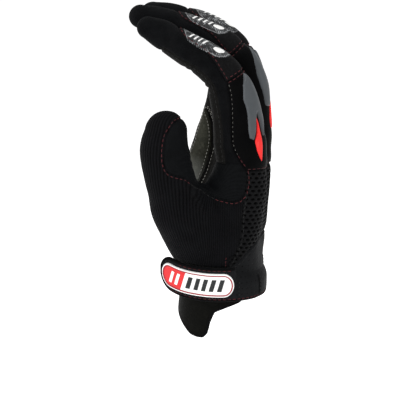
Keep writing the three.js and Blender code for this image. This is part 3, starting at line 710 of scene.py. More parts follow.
def creases(P):
    """Folds of the cloth: at the bends inside the fingers, at the thumb's root and in the web."""
    out = np.zeros(len(P))
    wob = noise(P, 9.0, 5) * 1.1 + noise(P, 4.0, 6) * 0.4
    for n in NAMES:
        s, th, d = FULL[n].polar(P)
        inner = step01(70, 125, np.abs(np.degrees(th))) * (np.abs(d) < 2.5)
        joint = PIP[n]
        for k, (at, deep, wide) in enumerate([(joint - 7.5, 0.5, 1.4), (joint - 2.0, 1.05, 1.7), (joint + 4.0, 0.8, 1.5),
                                              (joint - 26.0, 0.45, 1.3), (joint - 22.0, 0.6, 1.4)]):
            out -= inner * deep * np.exp(-((s + wob * 1.4 - at) / wide)**2)
    ts, tt, td = SP["thumb"].polar(P)
    inner = step01(100, 40, np.abs(np.degrees(tt))) * (np.abs(td) < 3)
    for at, deep, wide in [(16.0, 0.4, 1.4), (20.5, 0.6, 1.6), (25.5, 0.45, 1.5)]:
        out -= inner * deep * np.exp(-((ts + wob * 1.6 - at) / wide)**2)
    x, y, z = P.T
    for folds, q, side in ((WEB_FOLDS, np.stack([x + wob * 0.5, z + wob * 0.5], 1), step01(-20, -30, y)),
                           (PALM_FOLDS, np.stack([y + wob * 0.6, z + wob * 0.6], 1), step01(8, 2, x))):
        for line, deep, wide in folds:
            p = np.array(line, float)
            dd = np.full(len(P), 1e9)
            run = 0.0
            along = np.zeros(len(P))
            for a, b in zip(p[:-1], p[1:]):
                e = b - a
                w = np.clip(((q - a) @ e) / (e @ e), 0, 1)
                dk = np.sqrt(((q - a - w[:, None] * e)**2).sum(1))
                use = dk < dd
                dd[use] = dk[use]
                along[use] = (run + w * np.linalg.norm(e))[use]
                run += np.linalg.norm(e)
            fade = step01(0, 4, along) * step01(run, run - 6, along)
            out -= side * deep * fade * (np.exp(-(dd / wide)**2) - 0.35 * np.exp(-((dd - wide * 2) / wide)**2))
    return out


WEB_FOLDS = [([(-17.0, 70.5), (-11.5, 64.0), (-8.0, 56.0)], 1.5, 2.0),
             ([(-12.5, 73.0), (-6.0, 69.5), (0.0, 70.5)], 1.3, 1.8),
             ([(-14.0, 68.0), (-9.0, 65.5), (-3.0, 60.0), (1.0, 54.0)], 1.1, 1.9),
             ([(-24.0, 74.0), (-21.0, 66.0), (-20.0, 57.0)], 0.6, 2.2),
             ([(-5.0, 77.0), (1.0, 76.5), (6.0, 78.0)], 0.5, 1.6),
             ([(-28.0, 52.0), (-20.0, 44.0), (-12.0, 40.0)], 0.35, 2.6),
             ([(2.0, 33.0), (-3.0, 30.0), (-9.0, 29.5)], 0.5, 1.8)]

PALM_FOLDS = [([(-24.0, 74.0), (-12.0, 70.0), (-3.0, 60.0), (1.0, 46.0), (0.0, 34.0)], 0.9, 2.2),
              ([(-20.0, 84.0), (-6.0, 82.0), (8.0, 79.0), (14.0, 74.0)], 0.8, 2.0),
              ([(-4.0, 95.0), (8.0, 93.0), (20.0, 95.0)], 0.5, 1.8),
              ([(10.0, 56.0), (8.0, 46.0), (10.0, 38.0)], 0.45, 2.4),
              ([(-14.0, 48.0), (-8.0, 40.0), (-6.0, 32.0)], 0.4, 2.4)]


def lift(P, d, fabric=1.0):
    """How far the cloth stands off the smooth form: seam valleys, fullness between seams, folds."""
    valley = -0.62 * np.exp(-(d / 0.75)**2) - 0.16 * np.exp(-(d / 2.2)**2)
    full = 0.30 * step01(0.5, 6.0, d)
    big = noise(P, 17.0, 1) * 0.38 + noise(P, 8.0, 2) * 0.18
    return valley + (full + big * step01(0, 5, d) + creases(P)) * fabric


soft = np.ones(len(V))
up = lift(V, dist)
# the neoprene over the knuckles stands a little prouder than the cloth beside it
owner = np.full(len(V), -1)
owner[F.ravel()] = np.repeat(L, 3)
up += np.where(owner == KNUCKLE, 0.35, 0.0) * step01(0.0, 1.6, dist)
up += np.where((owner >= PRINTED) & (owner < PRINTED + 4), 0.18, 0.0) * step01(0.0, 1.4, dist)
low_hem = step01(9.0, 1.0, V[:, 2])
up = up * (1 - low_hem) - 0.2 * low_hem


def mesh_cells(P):
    """Rows of openings in the spacer mesh: 0 on the ribs, 1 in an opening."""
    u = np.arctan2(P[:, 1] + 2.0, P[:, 0] + 6.0) * 31.0
    v = P[:, 2] * 1.0 + np.sin(u / 5.0) * 0.5
    row = np.round(v / 2.55)
    dv = v / 2.55 - row
    du = (u / 2.9 + 0.5 * (row % 2))
    du = du - np.round(du)
    return 1 - step01(0.22, 0.46, np.sqrt((du * 1.05)**2 + (dv * 1.15)**2))


in_mesh = owner == MESH
cells = np.zeros(len(V))
cells[in_mesh] = mesh_cells(V[in_mesh])
up -= np.where(in_mesh, cells * 0.55 * step01(0.6, 2.0, dist), 0)
BASE = V.copy()
V = V + N * up[:, None]
TREE = BVHTree.FromPolygons([tuple(p) for p in V], [tuple(int(i) for i in t) for t in F])
NORMAL = vertex_normals(V, F)


def settle(P):
    """The points' places on the finished cloth, and its outward direction there."""
    out, nor = np.empty_like(P), np.empty_like(P)
    for i, p in enumerate(P):
        c, n, _, _ = TREE.find_nearest(Vector(p))
        out[i], nor[i] = c, n
    return out, nor


def march(P, D, rounds=60):
    P = P.copy()
    for _ in range(rounds):
        P += D * np.clip(glove(P) * 0.85, -2.0, 2.0)[:, None]
    return P


def on_chart(spine, s, deg):
    """Points of the skin at s along a spine and deg round it."""
    at = np.interp(s, spine.s, np.arange(len(spine.s)))
    k = spine.lerp(spine.k, at)
    th = np.radians(deg)
    c = spine.lerp(spine.c, at)
    d = spine.lerp(spine.e1, at) * np.cos(th)[:, None] + spine.lerp(spine.e2, at) * (np.sin(th) * k)[:, None]
    rho = spine.lerp(spine.r, at)
    for _ in range(14):
        rho = rho - glove(c + d * rho[:, None]) * 0.8
    return c + d * rho[:, None]


# ---- objects -----------------------------------------------------------------------------------
def mesh_object(name, V, F, node, material, smooth=True, chart=None, groups=None, extra=()):
    me = bpy.data.meshes.new(name)
    me.from_pydata([tuple(p) for p in V * MM], [], [tuple(int(i) for i in t) for t in F])
    mats = [material] if not isinstance(material, (list, tuple)) else list(material)
    for m in mats:
        me.materials.append(m)
    if groups is not None:
        me.polygons.foreach_set("material_index", np.asarray(groups, np.int32))
    me.polygons.foreach_set("use_smooth", np.full(len(me.polygons), smooth))
    if chart is not None:
        a = me.attributes.new("chart", "FLOAT_VECTOR", "CORNER")
        a.data.foreach_set("vector", np.asarray(chart, np.float32).reshape(-1))
    for key, values in extra:
        a = me.attributes.new(key, "FLOAT", "POINT")
        a.data.foreach_set("value", np.asarray(values, np.float32))
    me.update()
    o = bpy.data.objects.new(name, me)
    bpy.context.scene.collection.objects.link(o)
    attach(o, "root")
    if node:
        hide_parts(*([node] if isinstance(node, str) else node))
    return o


def corner_chart(F, s, c, sn, per_radian):
    """Chart on the triangles' corners: mm round the spine, mm along it, without a jump."""
    th = np.arctan2(sn[F], c[F])
    d = th - th[:, :1]
    th = th[:, :1] + (d + math.pi) % (2 * math.pi) - math.pi
    return np.stack([th * per_radian, s[F], np.zeros_like(th)], 2)


def piece(name, label, node, material, chart=None, per_radian=12.5):
    sel = F[L == label]
    used = np.unique(sel)
    back = np.full(len(V), -1)
    back[used] = np.arange(len(used))
    f = back[sel]
    v = V[used]
    low = BASE[used] - N[used] * WALL
    VV, FF = closed(v, f, low)
    A2 = np.concatenate([A[used], A[used]])
    if chart == "thumb":
        ch = corner_chart(FF, A2[:, COL["ts"]], A2[:, COL["tcos"]], A2[:, COL["tsin"]], per_radian)
    elif chart == "ribs":
        ch = corner_chart(FF, VV[:, 2], VV[:, 0] - 8, VV[:, 1] - 6, per_radian)
    elif chart == "wrist":
        ch = corner_chart(FF, VV[:, 2], VV[:, 0] + 4, VV[:, 1] + 2, per_radian)
    else:
        ch = corner_chart(FF, A2[:, COL["s"]], A2[:, COL["cos"]], A2[:, COL["sin"]], per_radian)
    dd = np.concatenate([dist[used], dist[used]])
    hole = np.concatenate([cells[used], np.zeros(len(used))])
    return mesh_object(name, VV, FF, node, material, chart=ch, extra=[("seam", dd), ("hole", hole)])


def plate(name, outline, place, profile, node, material, cell=0.5, under=-0.7, fit=True, chart_scale=1.0,
          paint=None):
    """A piece laid on a surface: a closed outline in a chart, its height read from the depth inside it."""
    loop = np.asarray(outline, float)
    lo, hi = loop.min(0) - cell, loop.max(0) + cell
    nx, ny = [int(math.ceil(v)) + 1 for v in (hi - lo) / cell]
    gx, gy = np.meshgrid(np.arange(nx), np.arange(ny), indexing="ij")
    uv = np.stack([gx.ravel(), gy.ravel()], 1) * cell + lo
    depth = inside_of(loop, uv)
    i = (gx[:-1, :-1] * ny + gy[:-1, :-1]).ravel()
    f = np.concatenate([np.stack([i, i + ny, i + ny + 1], 1), np.stack([i, i + ny + 1, i + 1], 1)])
    f = f[(depth[f] > -1.5 * cell).any(1)]
    P = np.concatenate([uv, np.zeros((len(uv), 1))], 1)
    lab = np.zeros(len(f), int)
    P, a, f, lab, g = cut_along(P, depth[:, None], f, lab, -depth, np.ones(len(f), bool), snap=cell * 0.12)
    keep = g[f].sum(1) < 0
    f = f[keep]
    groups = None
    if paint is not None:  # further outlines that divide the plate into colours
        lab = np.zeros(len(f), int)
        for number, region in enumerate(paint, 1):
            r = region(P[:, :2])
            P, a, f, lab, r = cut_along(P, a, f, lab, r, np.ones(len(f), bool), snap=cell * 0.12)
            lab = np.where(r[f].sum(1) < 0, number, lab)
    used = np.unique(f)
    back = np.full(len(P), -1)
    back[used] = np.arange(len(used))
    f = back[f]
    uv = P[used, :2]
    d = np.maximum(inside_of(loop, uv), 0)
    d[np.unique(border(f, len(uv)))] = 0
    Q, n = place(uv)
    if fit:
        q2, _ = settle(Q)
        Q = Q + n * ((q2 - Q) * n).sum(1)[:, None]
    top = Q + n * profile(d, uv)[:, None]
    m = np.cross(top[f[:, 1]] - top[f[:, 0]], top[f[:, 2]] - top[f[:, 0]])
    if (m * n[f[:, 0]]).sum() < 0:
        f = f[:, ::-1]
    VV, FF = closed(top, f, Q + n * (under(uv)[:, None] if callable(under) else under))
    if paint is not None:
        groups = np.concatenate([lab, np.zeros(len(FF) - len(lab), int)])
    uvv = np.concatenate([uv, uv]) * chart_scale
    ch = np.concatenate([uvv[FF], np.zeros((len(FF), 3, 1))], 2)
    return mesh_object(name, VV, FF, node, material, chart=ch, groups=groups)


def dome(height, round_edge, start=-0.35, crown=0.0):
    """Height over the skin for a moulded edge: rounded within round_edge, then level."""
    def f(d, uv):
        t = np.clip(d / round_edge, 0, 1)
        return start + (height - start) * np.sqrt(1 - (1 - t)**2) + crown * step01(0, 6, d)
    return f


# ---- stitches ----------------------------------------------------------------------------------
THREADS = {"red_thread": [], "grey_thread": [], "dark_thread": []}


def dashes(line, colour, long=2.0, gap=1.1, thick=0.19, proud=0.09, tree=None, only=None):
    """A row of stitches along a line on the cloth."""
    pts = resample(line, 0.25)
    if len(pts) < 8:
        return
    step = int(round((long + gap) / 0.25))
    n = int(round(long / 0.25))
    starts = list(range(2, len(pts) - n, step))
    if not starts:
        return
    idx = np.array([[a, a + n // 2, a + n] for a in starts])
    if only is not None:
        idx = idx[only(pts[idx[:, 1]])]
        if not len(idx):
            return
    P = pts[idx.ravel()]
    if tree is None:
        Q, M = settle(P)
    else:
        Q, M = tree(P)
    Q, M = Q.reshape(-1, 3, 3), M.reshape(-1, 3, 3)
    THREADS[colour].append((Q, M, thick, proud))


def offset_row(line, other, away):
    """The line moved sideways on the skin by away, to the side of the points other."""
    p = resample(line, 0.5)
    if len(p) < 6:
        return None
    t = unit(np.gradient(p, axis=0))
    n = gradient(p)
    side = unit(np.cross(n, t))
    kd = KDTree(len(other))
    for i, q in enumerate(other):
        kd.insert(q, i)
    kd.balance()
    mid = range(0, len(p), 3)
    vote = sum(float(np.dot(np.array(kd.find(p[i])[0]) - p[i], side[i])) for i in mid)
    side = side if vote > 0 else -side
    q = p + side * away
    for _ in range(3):
        q[1:-1] = q[1:-1] * 0.5 + (q[:-2] + q[2:]) * 0.25
    return q


def thread_object(name, colour, material):
    verts, faces = [], []
    ring = 6
    for Q, M, thick, proud in THREADS[colour]:
        for q, m in zip(Q, M):
            n = unit(m.mean(0))
            t = unit(q[2] - q[0])
            b = np.cross(n, t)
            if np.linalg.norm(b) < 0.2:
                continue
            b = unit(b)
            half = np.linalg.norm(q[2] - q[0]) / 2
            base = len(verts)
            stations = [(-1.0, 0.25, -0.30), (-0.86, 0.8, -0.06), (-0.4, 1.0, 0.0), (0.4, 1.0, 0.0), (0.86, 0.8, -0.06),
                        (1.0, 0.25, -0.30)]
            for a, w, drop in stations:
                c = q[1] + t * half * a if abs(a) > 0.5 else q[1] + t * half * a
                lead = q[0] if a < 0 else q[2]
                c = q[1] + (lead - q[1]) * abs(a)
                c = c + n * (proud + drop)
                for j in range(ring):
                    an = 2 * math.pi * j / ring
                    verts.append(c + (b * math.cos(an) * 1.25 + n * math.sin(an) * 0.9) * thick * w)
            for i in range(len(stations) - 1):
                for j in range(ring):
                    k = (j + 1) % ring
                    a0, a1, b0, b1 = base + i * ring + j, base + i * ring + k, base + (i + 1) * ring + j, base + (i + 1) * ring + k
                    faces.append((a0, b0, b1)), faces.append((a0, b1, a1))
            end = base + (len(stations) - 1) * ring
            for j in range(1, ring - 1):
                faces.append((base, base + j, base + j + 1)), faces.append((end, end + j + 1, end + j))
    if not verts:
        return None
    return mesh_object(name, np.array(verts), np.array(faces), None,
                       material)


def tube(name, line, radius, node, material, ring=10, flat=1.0, close=False, normal=None):
    """A cord of cloth along a line: piping or binding."""
    p = np.asarray(line, float)
    t = unit(np.gradient(p, axis=0)) if not close else unit(np.roll(p, -1, 0) - np.roll(p, 1, 0))
    n = normal if normal is not None else gradient(p)
    b = unit(np.cross(t, n))
    n = unit(np.cross(b, t))
    verts = []
    for i in range(len(p)):
        r = radius if np.isscalar(radius) else radius[i]
        for j in range(ring):
            a = 2 * math.pi * j / ring
            verts.append(p[i] + (n[i] * math.sin(a) * flat + b[i] * math.cos(a)) * r)
    faces = []
    m = len(p)
    for i in range(m if close else m - 1):
        for j in range(ring):
            k = (j + 1) % ring
            i2 = (i + 1) % m
            faces += [(i * ring + j, i * ring + k, i2 * ring + k), (i * ring + j, i2 * ring + k, i2 * ring + j)]
    if not close:
        for j in range(1, ring - 1):
            faces += [(0, j + 1, j), ((m - 1) * ring, (m - 1) * ring + j, (m - 1) * ring + j + 1)]
    verts, faces = np.array(verts), np.array(faces)
    c = verts[faces]
    vol = (c[:, 0] * np.cross(c[:, 1], c[:, 2])).sum()
    return mesh_object(name, verts, faces if vol > 0 else faces[:, ::-1], node, material)


# ---- materials ---------------------------------------------------------------------------------
class Graph:
    def __init__(self, name):
        self.mat = bpy.data.materials.new(name)
        self.mat.use_nodes = True
        self.nodes, self.links = self.mat.node_tree.nodes, self.mat.node_tree.links
        self.bsdf = self.nodes["Principled BSDF"]
        self.coord = self.nodes.new("ShaderNodeTexCoord").outputs["Object"]
        chart = self.nodes.new("ShaderNodeAttribute")
        chart.attribute_name = "chart"
        sep = self.nodes.new("ShaderNodeSeparateXYZ")
        self.links.new(chart.outputs["Vector"], sep.inputs[0])
        self.u, self.v = sep.outputs[0], sep.outputs[1]

    def put(self, socket, value):
        if hasattr(value, "links") or hasattr(value, "is_output"):
            self.links.new(value, socket)
        else:
            socket.default_value = value

    def m(self, op, a, b=0.0, c=0.0, clamp=False):
        n = self.nodes.new("ShaderNodeMath")
        n.operation, n.use_clamp = op, clamp
        self.put(n.inputs[0], a), self.put(n.inputs[1], b), self.put(n.inputs[2], c)
        return n.outputs[0]

    def attr(self, name):
        n = self.nodes.new("ShaderNodeAttribute")
        n.attribute_name = name
        return n.outputs["Fac"]

    def noise(self, size_mm, detail=3.0, rough=0.55, stretch=None):
        n = self.nodes.new("ShaderNodeTexNoise")
        n.inputs["Scale"].default_value = 1000.0 / size_mm
        n.inputs["Detail"].default_value = detail
        n.inputs["Roughness"].default_value = rough
        source = self.coord
        if stretch:
            mp = self.nodes.new("ShaderNodeMapping")
            mp.inputs["Scale"].default_value = stretch
            self.links.new(source, mp.inputs["Vector"])
            source = mp.outputs[0]
        self.links.new(source, n.inputs["Vector"])
        return n.outputs["Fac"]

    def cells(self, size_mm, feature="F1", output="Distance"):
        n = self.nodes.new("ShaderNodeTexVoronoi")
        n.feature = feature
        n.inputs["Scale"].default_value = 1000.0 / size_mm
        self.links.new(self.coord, n.inputs["Vector"])
        return n.outputs[output]

    def wave(self, x, pitch, sharp=1.0, shift=0.0):
        """0..1 ridges across x, one per pitch."""
        s = self.m("SINE", self.m("MULTIPLY_ADD", x, 2 * math.pi / pitch, shift))
        s = self.m("MULTIPLY_ADD", s, 0.5, 0.5)
        return self.m("POWER", s, sharp) if sharp != 1.0 else s

    def span(self, x, low, high, a=0.0, b=1.0):
        n = self.nodes.new("ShaderNodeMapRange")
        n.inputs["From Min"].default_value, n.inputs["From Max"].default_value = low, high
        n.inputs["To Min"].default_value, n.inputs["To Max"].default_value = a, b
        self.put(n.inputs["Value"], x)
        return n.outputs[0]

    def mix(self, fac, a, b):
        n = self.nodes.new("ShaderNodeMix")
        n.data_type = "RGBA"
        self.put(n.inputs["Factor"], fac)
        for sock, v in ((n.inputs[6], a), (n.inputs[7], b)):
            self.put(sock, (*v, 1.0) if isinstance(v, tuple) and len(v) == 3 else v)
        return n.outputs[2]

    def finish(self, colour, rough, height=None, sheen=0.0, sheen_rough=0.4, specular=0.5, coat=0.0, coat_rough=0.2,
               bump=1.0, tint=(1, 1, 1, 1)):
        b = self.bsdf
        self.put(b.inputs["Base Color"], (*colour, 1.0) if isinstance(colour, tuple) and len(colour) == 3 else colour)
        self.put(b.inputs["Roughness"], rough)
        b.inputs["Specular IOR Level"].default_value = specular
        b.inputs["Sheen Weight"].default_value = sheen
        b.inputs["Sheen Roughness"].default_value = sheen_rough
        b.inputs["Sheen Tint"].default_value = tint
        b.inputs["Coat Weight"].default_value = coat
        b.inputs["Coat Roughness"].default_value = coat_rough
        if height is not None:
            n = self.nodes.new("ShaderNodeBump")
            n.inputs["Strength"].default_value = bump
            n.inputs["Distance"].default_value = MM
            self.put(n.inputs["Height"], height)
            self.links.new(n.outputs[0], b.inputs["Normal"])
        return self.mat


def total(g, *terms):
    out = None
    for value, weight in terms:
        t = g.m("MULTIPLY", value, weight)
        out = t if out is None else g.m("ADD", out, t)
    return out


def knit_fabric():
    """Plain stretch knit of the fingers: fine wales and courses."""
    g = Graph("finger_fabric")
    wale, course = g.wave(g.u, 0.62), g.wave(g.v, 0.55, 1.0)
    loop = g.m("MULTIPLY", wale, course)
    cloud, fuzz = g.noise(7.0, 3), g.noise(0.5, 4, 0.65)
    # random paler patches where the knit is worn
    worn = g.span(g.noise(16.0, 4, 0.6), 0.46, 0.66)
    c = g.mix(g.span(cloud, 0.3, 0.7), (0.00120, 0.00132, 0.00156), (0.00252, 0.00270, 0.00312))
    c = g.mix(g.m("MULTIPLY", loop, 0.55), c, (0.00570, 0.00600, 0.00690))
    c = g.mix(g.m("MULTIPLY", worn, 0.22), c, (0.00960, 0.00960, 0.01020))
    return g.finish(c, g.span(fuzz, 0.3, 0.7, 0.62, 0.85), total(g, (loop, 0.10), (fuzz, 0.08), (cloud, 0.06)),
                    sheen=0.015, sheen_rough=0.45, specular=0.022)


def rib_fabric():
    """Rib knit of the thumb side: upright ribs, each a column of small loops."""
    g = Graph("rib_knit")
    wander = g.m("MULTIPLY", g.noise(9.0, 2), 0.55)
    u = g.m("ADD", g.u, wander)
    rib = g.wave(u, 1.18, 0.8)
    loops = g.wave(g.m("ADD", g.v, g.m("MULTIPLY", g.wave(u, 1.18, 1.0, 1.5), 0.22)), 0.72)
    fuzz, cloud, fleck = g.noise(0.45, 4, 0.65), g.noise(11.0, 3), g.noise(1.4, 2)
    c = g.mix(rib, (0.00063, 0.00063, 0.00079), (0.00304, 0.00315, 0.00367))
    c = g.mix(g.m("MULTIPLY", g.m("MULTIPLY", loops, rib), 0.45), c, (0.00657, 0.00672, 0.00762))
    c = g.mix(g.m("MULTIPLY", g.span(fleck, 0.56, 0.72), 0.25), c, (0.00788, 0.00498, 0.00604))
    c = g.mix(g.m("MULTIPLY", g.span(cloud, 0.42, 0.66), 0.20), c, (0.00577, 0.00619, 0.00735))
    return g.finish(c, g.span(fuzz, 0.3, 0.7, 0.66, 0.90), total(g, (rib, 0.24), (loops, 0.07), (fuzz, 0.07)),
                    sheen=0.015, sheen_rough=0.5, specular=0.022)


def stretch_fabric():
    """Smooth stretch weave of the web and the thumb's inside."""
    g = Graph("stretch_fabric")
    wale, weft = g.wave(g.u, 0.55, 1.0), g.wave(g.v, 0.42, 1.0)
    fuzz, cloud = g.noise(0.6, 3, 0.6), g.noise(9.0, 3)
    c = g.mix(g.span(cloud, 0.32, 0.68), (0.00122, 0.00144, 0.00171), (0.00254, 0.00287, 0.00337))
    c = g.mix(g.m("MULTIPLY", wale, 0.30), c, (0.00470, 0.00524, 0.00608))
    return g.finish(c, g.span(fuzz, 0.3, 0.7, 0.50, 0.70), total(g, (wale, 0.06), (weft, 0.03), (fuzz, 0.04), (cloud, 0.05)),
                    sheen=0.012, sheen_rough=0.35, specular=0.035)


def leather(name, dark, light, shine, pores=1.0, worn=None):
    """Synthetic leather: a pebble grain with creases, rubbed lighter on its high places."""
    g = Graph(name)
    grain, fine = g.cells(0.85), g.cells(0.42)
    crease, cloud, rub = g.noise(2.6, 4, 0.6), g.noise(12.0, 3), g.noise(4.0, 4, 0.62)
    line = g.span(g.m("ABSOLUTE", g.m("SUBTRACT", g.noise(6.5, 3, 0.5), 0.5)), 0.0, 0.035, 1.0, 0.0)
    c = g.mix(g.span(cloud, 0.3, 0.7), dark, light)
    c = g.mix(g.m("MULTIPLY", g.span(grain, 0.25, 0.6), 0.45), c, tuple(v * 0.45 for v in dark))
    c = g.mix(g.m("MULTIPLY", g.span(rub, 0.52, 0.7), 0.35), c, tuple(v * 1.9 for v in light))
    if worn:  # painted highlight: pale towards one end of the piece, where light falls on it
        c = g.mix(g.span(g.u, worn[0], worn[1], 0.0, 0.8), c, worn[2])
    return g.finish(c, g.span(fine, 0.1, 0.6, shine, shine + 0.18),
                    total(g, (g.span(grain, 0.0, 0.7, 1.0, 0.0), 0.10 * pores), (g.span(fine, 0.0, 0.7, 1.0, 0.0), 0.05 * pores),
                          (crease, 0.14), (line, -0.07)),
                    sheen=0.01, specular=0.04)


def neoprene():
    """Neoprene with a smooth jersey face."""
    g = Graph("knuckle_fabric")
    fuzz, cloud, dimple = g.noise(0.5, 3, 0.6), g.noise(13.0, 3), g.cells(1.0)
    jersey = g.m("MULTIPLY", g.wave(g.u, 0.48), g.wave(g.v, 0.48))
    c = g.mix(g.span(cloud, 0.3, 0.7), (0.00058, 0.00061, 0.00068), (0.00122, 0.00126, 0.00140))
    c = g.mix(g.m("MULTIPLY", jersey, 0.30), c, (0.00252, 0.00252, 0.00281))
    return g.finish(c, g.span(fuzz, 0.3, 0.7, 0.36, 0.52), total(g, (fuzz, 0.035), (dimple, 0.03), (jersey, 0.03), (cloud, 0.08)),
                    sheen=0.005, sheen_rough=0.3, specular=0.022)


def cuff_fabric():
    """Light neoprene of the cuff, with pin holes."""
    g = Graph("cuff_fabric")
    fuzz, cloud = g.noise(0.5, 3, 0.6), g.noise(14.0, 3)
    row = g.wave(g.v, 3.4, 9.0)
    dot = g.m("MULTIPLY", g.wave(g.u, 3.4, 9.0), row)
    c = g.mix(g.span(cloud, 0.3, 0.7), (0.00449, 0.00475, 0.00517), (0.00739, 0.00776, 0.00845))
    c = g.mix(g.span(dot, 0.30, 0.55), c, (0.00042, 0.00042, 0.00053))
    return g.finish(c, g.span(fuzz, 0.3, 0.7, 0.60, 0.76), total(g, (fuzz, 0.04), (dot, -0.35), (cloud, 0.06)),
                    sheen=0.02, sheen_rough=0.35, specular=0.035)


def suede_print():
    """Brushed back panel of the fingers."""
    g = Graph("suede_panel")
    nap, fine, cloud = g.noise(1.1, 4, 0.6), g.noise(0.3, 3, 0.6), g.noise(9.0, 3)
    c = g.mix(g.span(cloud, 0.3, 0.7), (0.00272, 0.00272, 0.00292), (0.00510, 0.00510, 0.00544))
    c = g.mix(g.m("MULTIPLY", g.span(nap, 0.45, 0.7), 0.4), c, (0.01020, 0.01006, 0.01054))
    return g.finish(c, g.span(fine, 0.3, 0.7, 0.72, 0.88), total(g, (nap, 0.07), (fine, 0.05), (cloud, 0.08)),
                    sheen=0.02, sheen_rough=0.4, specular=0.035)


def spacer_mesh():
    """Spacer mesh of the back: rounded strands round rows of openings, the openings painted near-black, partly as
    shade.
    """
    g = Graph("back_mesh")
    hole = g.attr("hole")
    strand = g.m("MULTIPLY", g.wave(g.u, 0.50), g.wave(g.v, 0.46))
    fuzz, cloud = g.noise(0.4, 3, 0.6), g.noise(12.0, 3)
    c = g.mix(g.span(cloud, 0.3, 0.7), (0.00215, 0.00223, 0.00241), (0.00379, 0.00393, 0.00420))
    # lighter weave on the strands: their own tone, raised partly as a painted highlight on the ribs between openings
    c = g.mix(g.m("MULTIPLY", strand, 0.5), c, (0.00893, 0.00893, 0.00946))
    # openings painted near-black: partly the dark inside of real openings, partly painted shade of their depth
    c = g.mix(g.span(hole, 0.30, 0.72), c, (0.00022, 0.00022, 0.00027))
    return g.finish(c, g.span(hole, 0.2, 0.7, 0.58, 0.95), total(g, (strand, 0.09), (fuzz, 0.04), (hole, -0.25)),
                    sheen=0.01, specular=0.04)


def moulded(name, colour, edge, rough):
    """Soft moulded plastic, satin, with a fine spark texture and scuffs."""
    g = Graph(name)
    spark, cloud = g.noise(0.35, 3, 0.7), g.noise(8.0, 3)
    scuff = g.span(g.noise(3.2, 5, 0.7, stretch=(3.0, 3.0, 0.5)), 0.60, 0.70)
    c = g.mix(g.span(cloud, 0.35, 0.65), colour, tuple(v * 1.14 for v in colour))
    c = g.mix(g.m("MULTIPLY", scuff, 0.30), c, edge)
    return g.finish(c, total(g, (g.span(spark, 0.3, 0.7), 0.10), (scuff, 0.18), (g.span(cloud, 0.0, 1.0), 0.04), (1.0, rough)),
                    total(g, (spark, 0.022), (scuff, -0.02), (cloud, 0.05)), specular=0.22)


def webbing(name="strap_fabric", dark=(0.0048, 0.0050, 0.0055), light=(0.0088, 0.0090, 0.0100), pitch=0.7):
    """Napped strap face over a fine weave."""
    g = Graph(name)
    weave = g.m("MULTIPLY", g.wave(g.u, pitch), g.wave(g.v, pitch))
    nap, cloud, fuzz = g.noise(0.8, 4, 0.65), g.noise(9.0, 3), g.noise(0.3, 3, 0.6)
    c = g.mix(g.span(cloud, 0.3, 0.7), dark, light)
    c = g.mix(g.m("MULTIPLY", weave, 0.4), c, tuple(v * 2.0 for v in light))
    c = g.mix(g.m("MULTIPLY", g.span(nap, 0.5, 0.72), 0.35), c, tuple(v * 1.6 for v in light))
    return g.finish(c, g.span(fuzz, 0.3, 0.7, 0.66, 0.84), total(g, (weave, 0.08), (nap, 0.08), (fuzz, 0.03)), sheen=0.02,
                    sheen_rough=0.4, specular=0.035)


def rubber(name, colour, rough=0.38, soil=(0.30, 0.29, 0.27)):
    """Moulded rubber patch, with a little soiling in its low places."""
    g = Graph(name)
    fine, cloud, spot = g.noise(0.5, 3, 0.6), g.noise(9.0, 4), g.noise(2.2, 4, 0.65)
    c = g.mix(g.m("MULTIPLY", g.span(cloud, 0.45, 0.75), 0.10), colour, soil)
    c = g.mix(g.m("MULTIPLY", g.span(spot, 0.60, 0.75), 0.10), c, soil)
    return g.finish(c, g.span(fine, 0.3, 0.7, rough, rough + 0.12), total(g, (fine, 0.015), (cloud, 0.04)), specular=0.28)


def thread(name, colour, dark):
    """Twisted sewing thread."""
    g = Graph(name)
    twist, cloud = g.noise(0.25, 2, 0.6, stretch=(1.0, 1.0, 2.2)), g.noise(3.0, 3)
    c = g.mix(g.span(cloud, 0.35, 0.65), colour, dark)
    c = g.mix(g.m("MULTIPLY", g.span(twist, 0.5, 0.7), 0.5), c, dark)
    return g.finish(c, 0.62, total(g, (twist, 0.06)), sheen=0.03, specular=0.2)


def hatch_print(name, ink, ground, pitch=1.15):
    """Printed hatching of fine slanted lines."""
    g = Graph(name)
    slant = g.m("ADD", g.m("MULTIPLY", g.u, 0.8), g.m("MULTIPLY", g.v, 0.6))
    other = g.m("SUBTRACT", g.m("MULTIPLY", g.u, 0.8), g.m("MULTIPLY", g.v, 0.6))
    lines = g.m("MAXIMUM", g.span(g.wave(slant, pitch), 0.52, 0.80), g.m("MULTIPLY", g.span(g.wave(other, pitch), 0.7, 0.95), 0.35))
    rub = g.span(g.noise(2.4, 5, 0.7), 0.46, 0.62)
    c = g.mix(g.m("MULTIPLY", lines, rub), ground, ink)
    return g.finish(c, 0.55, total(g, (lines, 0.03), (g.noise(0.4, 3), 0.03)), sheen=0.02, specular=0.2)


def print_ink(name, colour, ground):
    """Printed ink, rubbed a little thin by wear."""
    g = Graph(name)
    rub = g.span(g.noise(1.6, 5, 0.72), 0.60, 0.74)
    c = g.mix(g.m("MULTIPLY", rub, 0.55), colour, ground)
    return g.finish(c, 0.5, total(g, (g.noise(0.4, 3), 0.03)), specular=0.25)


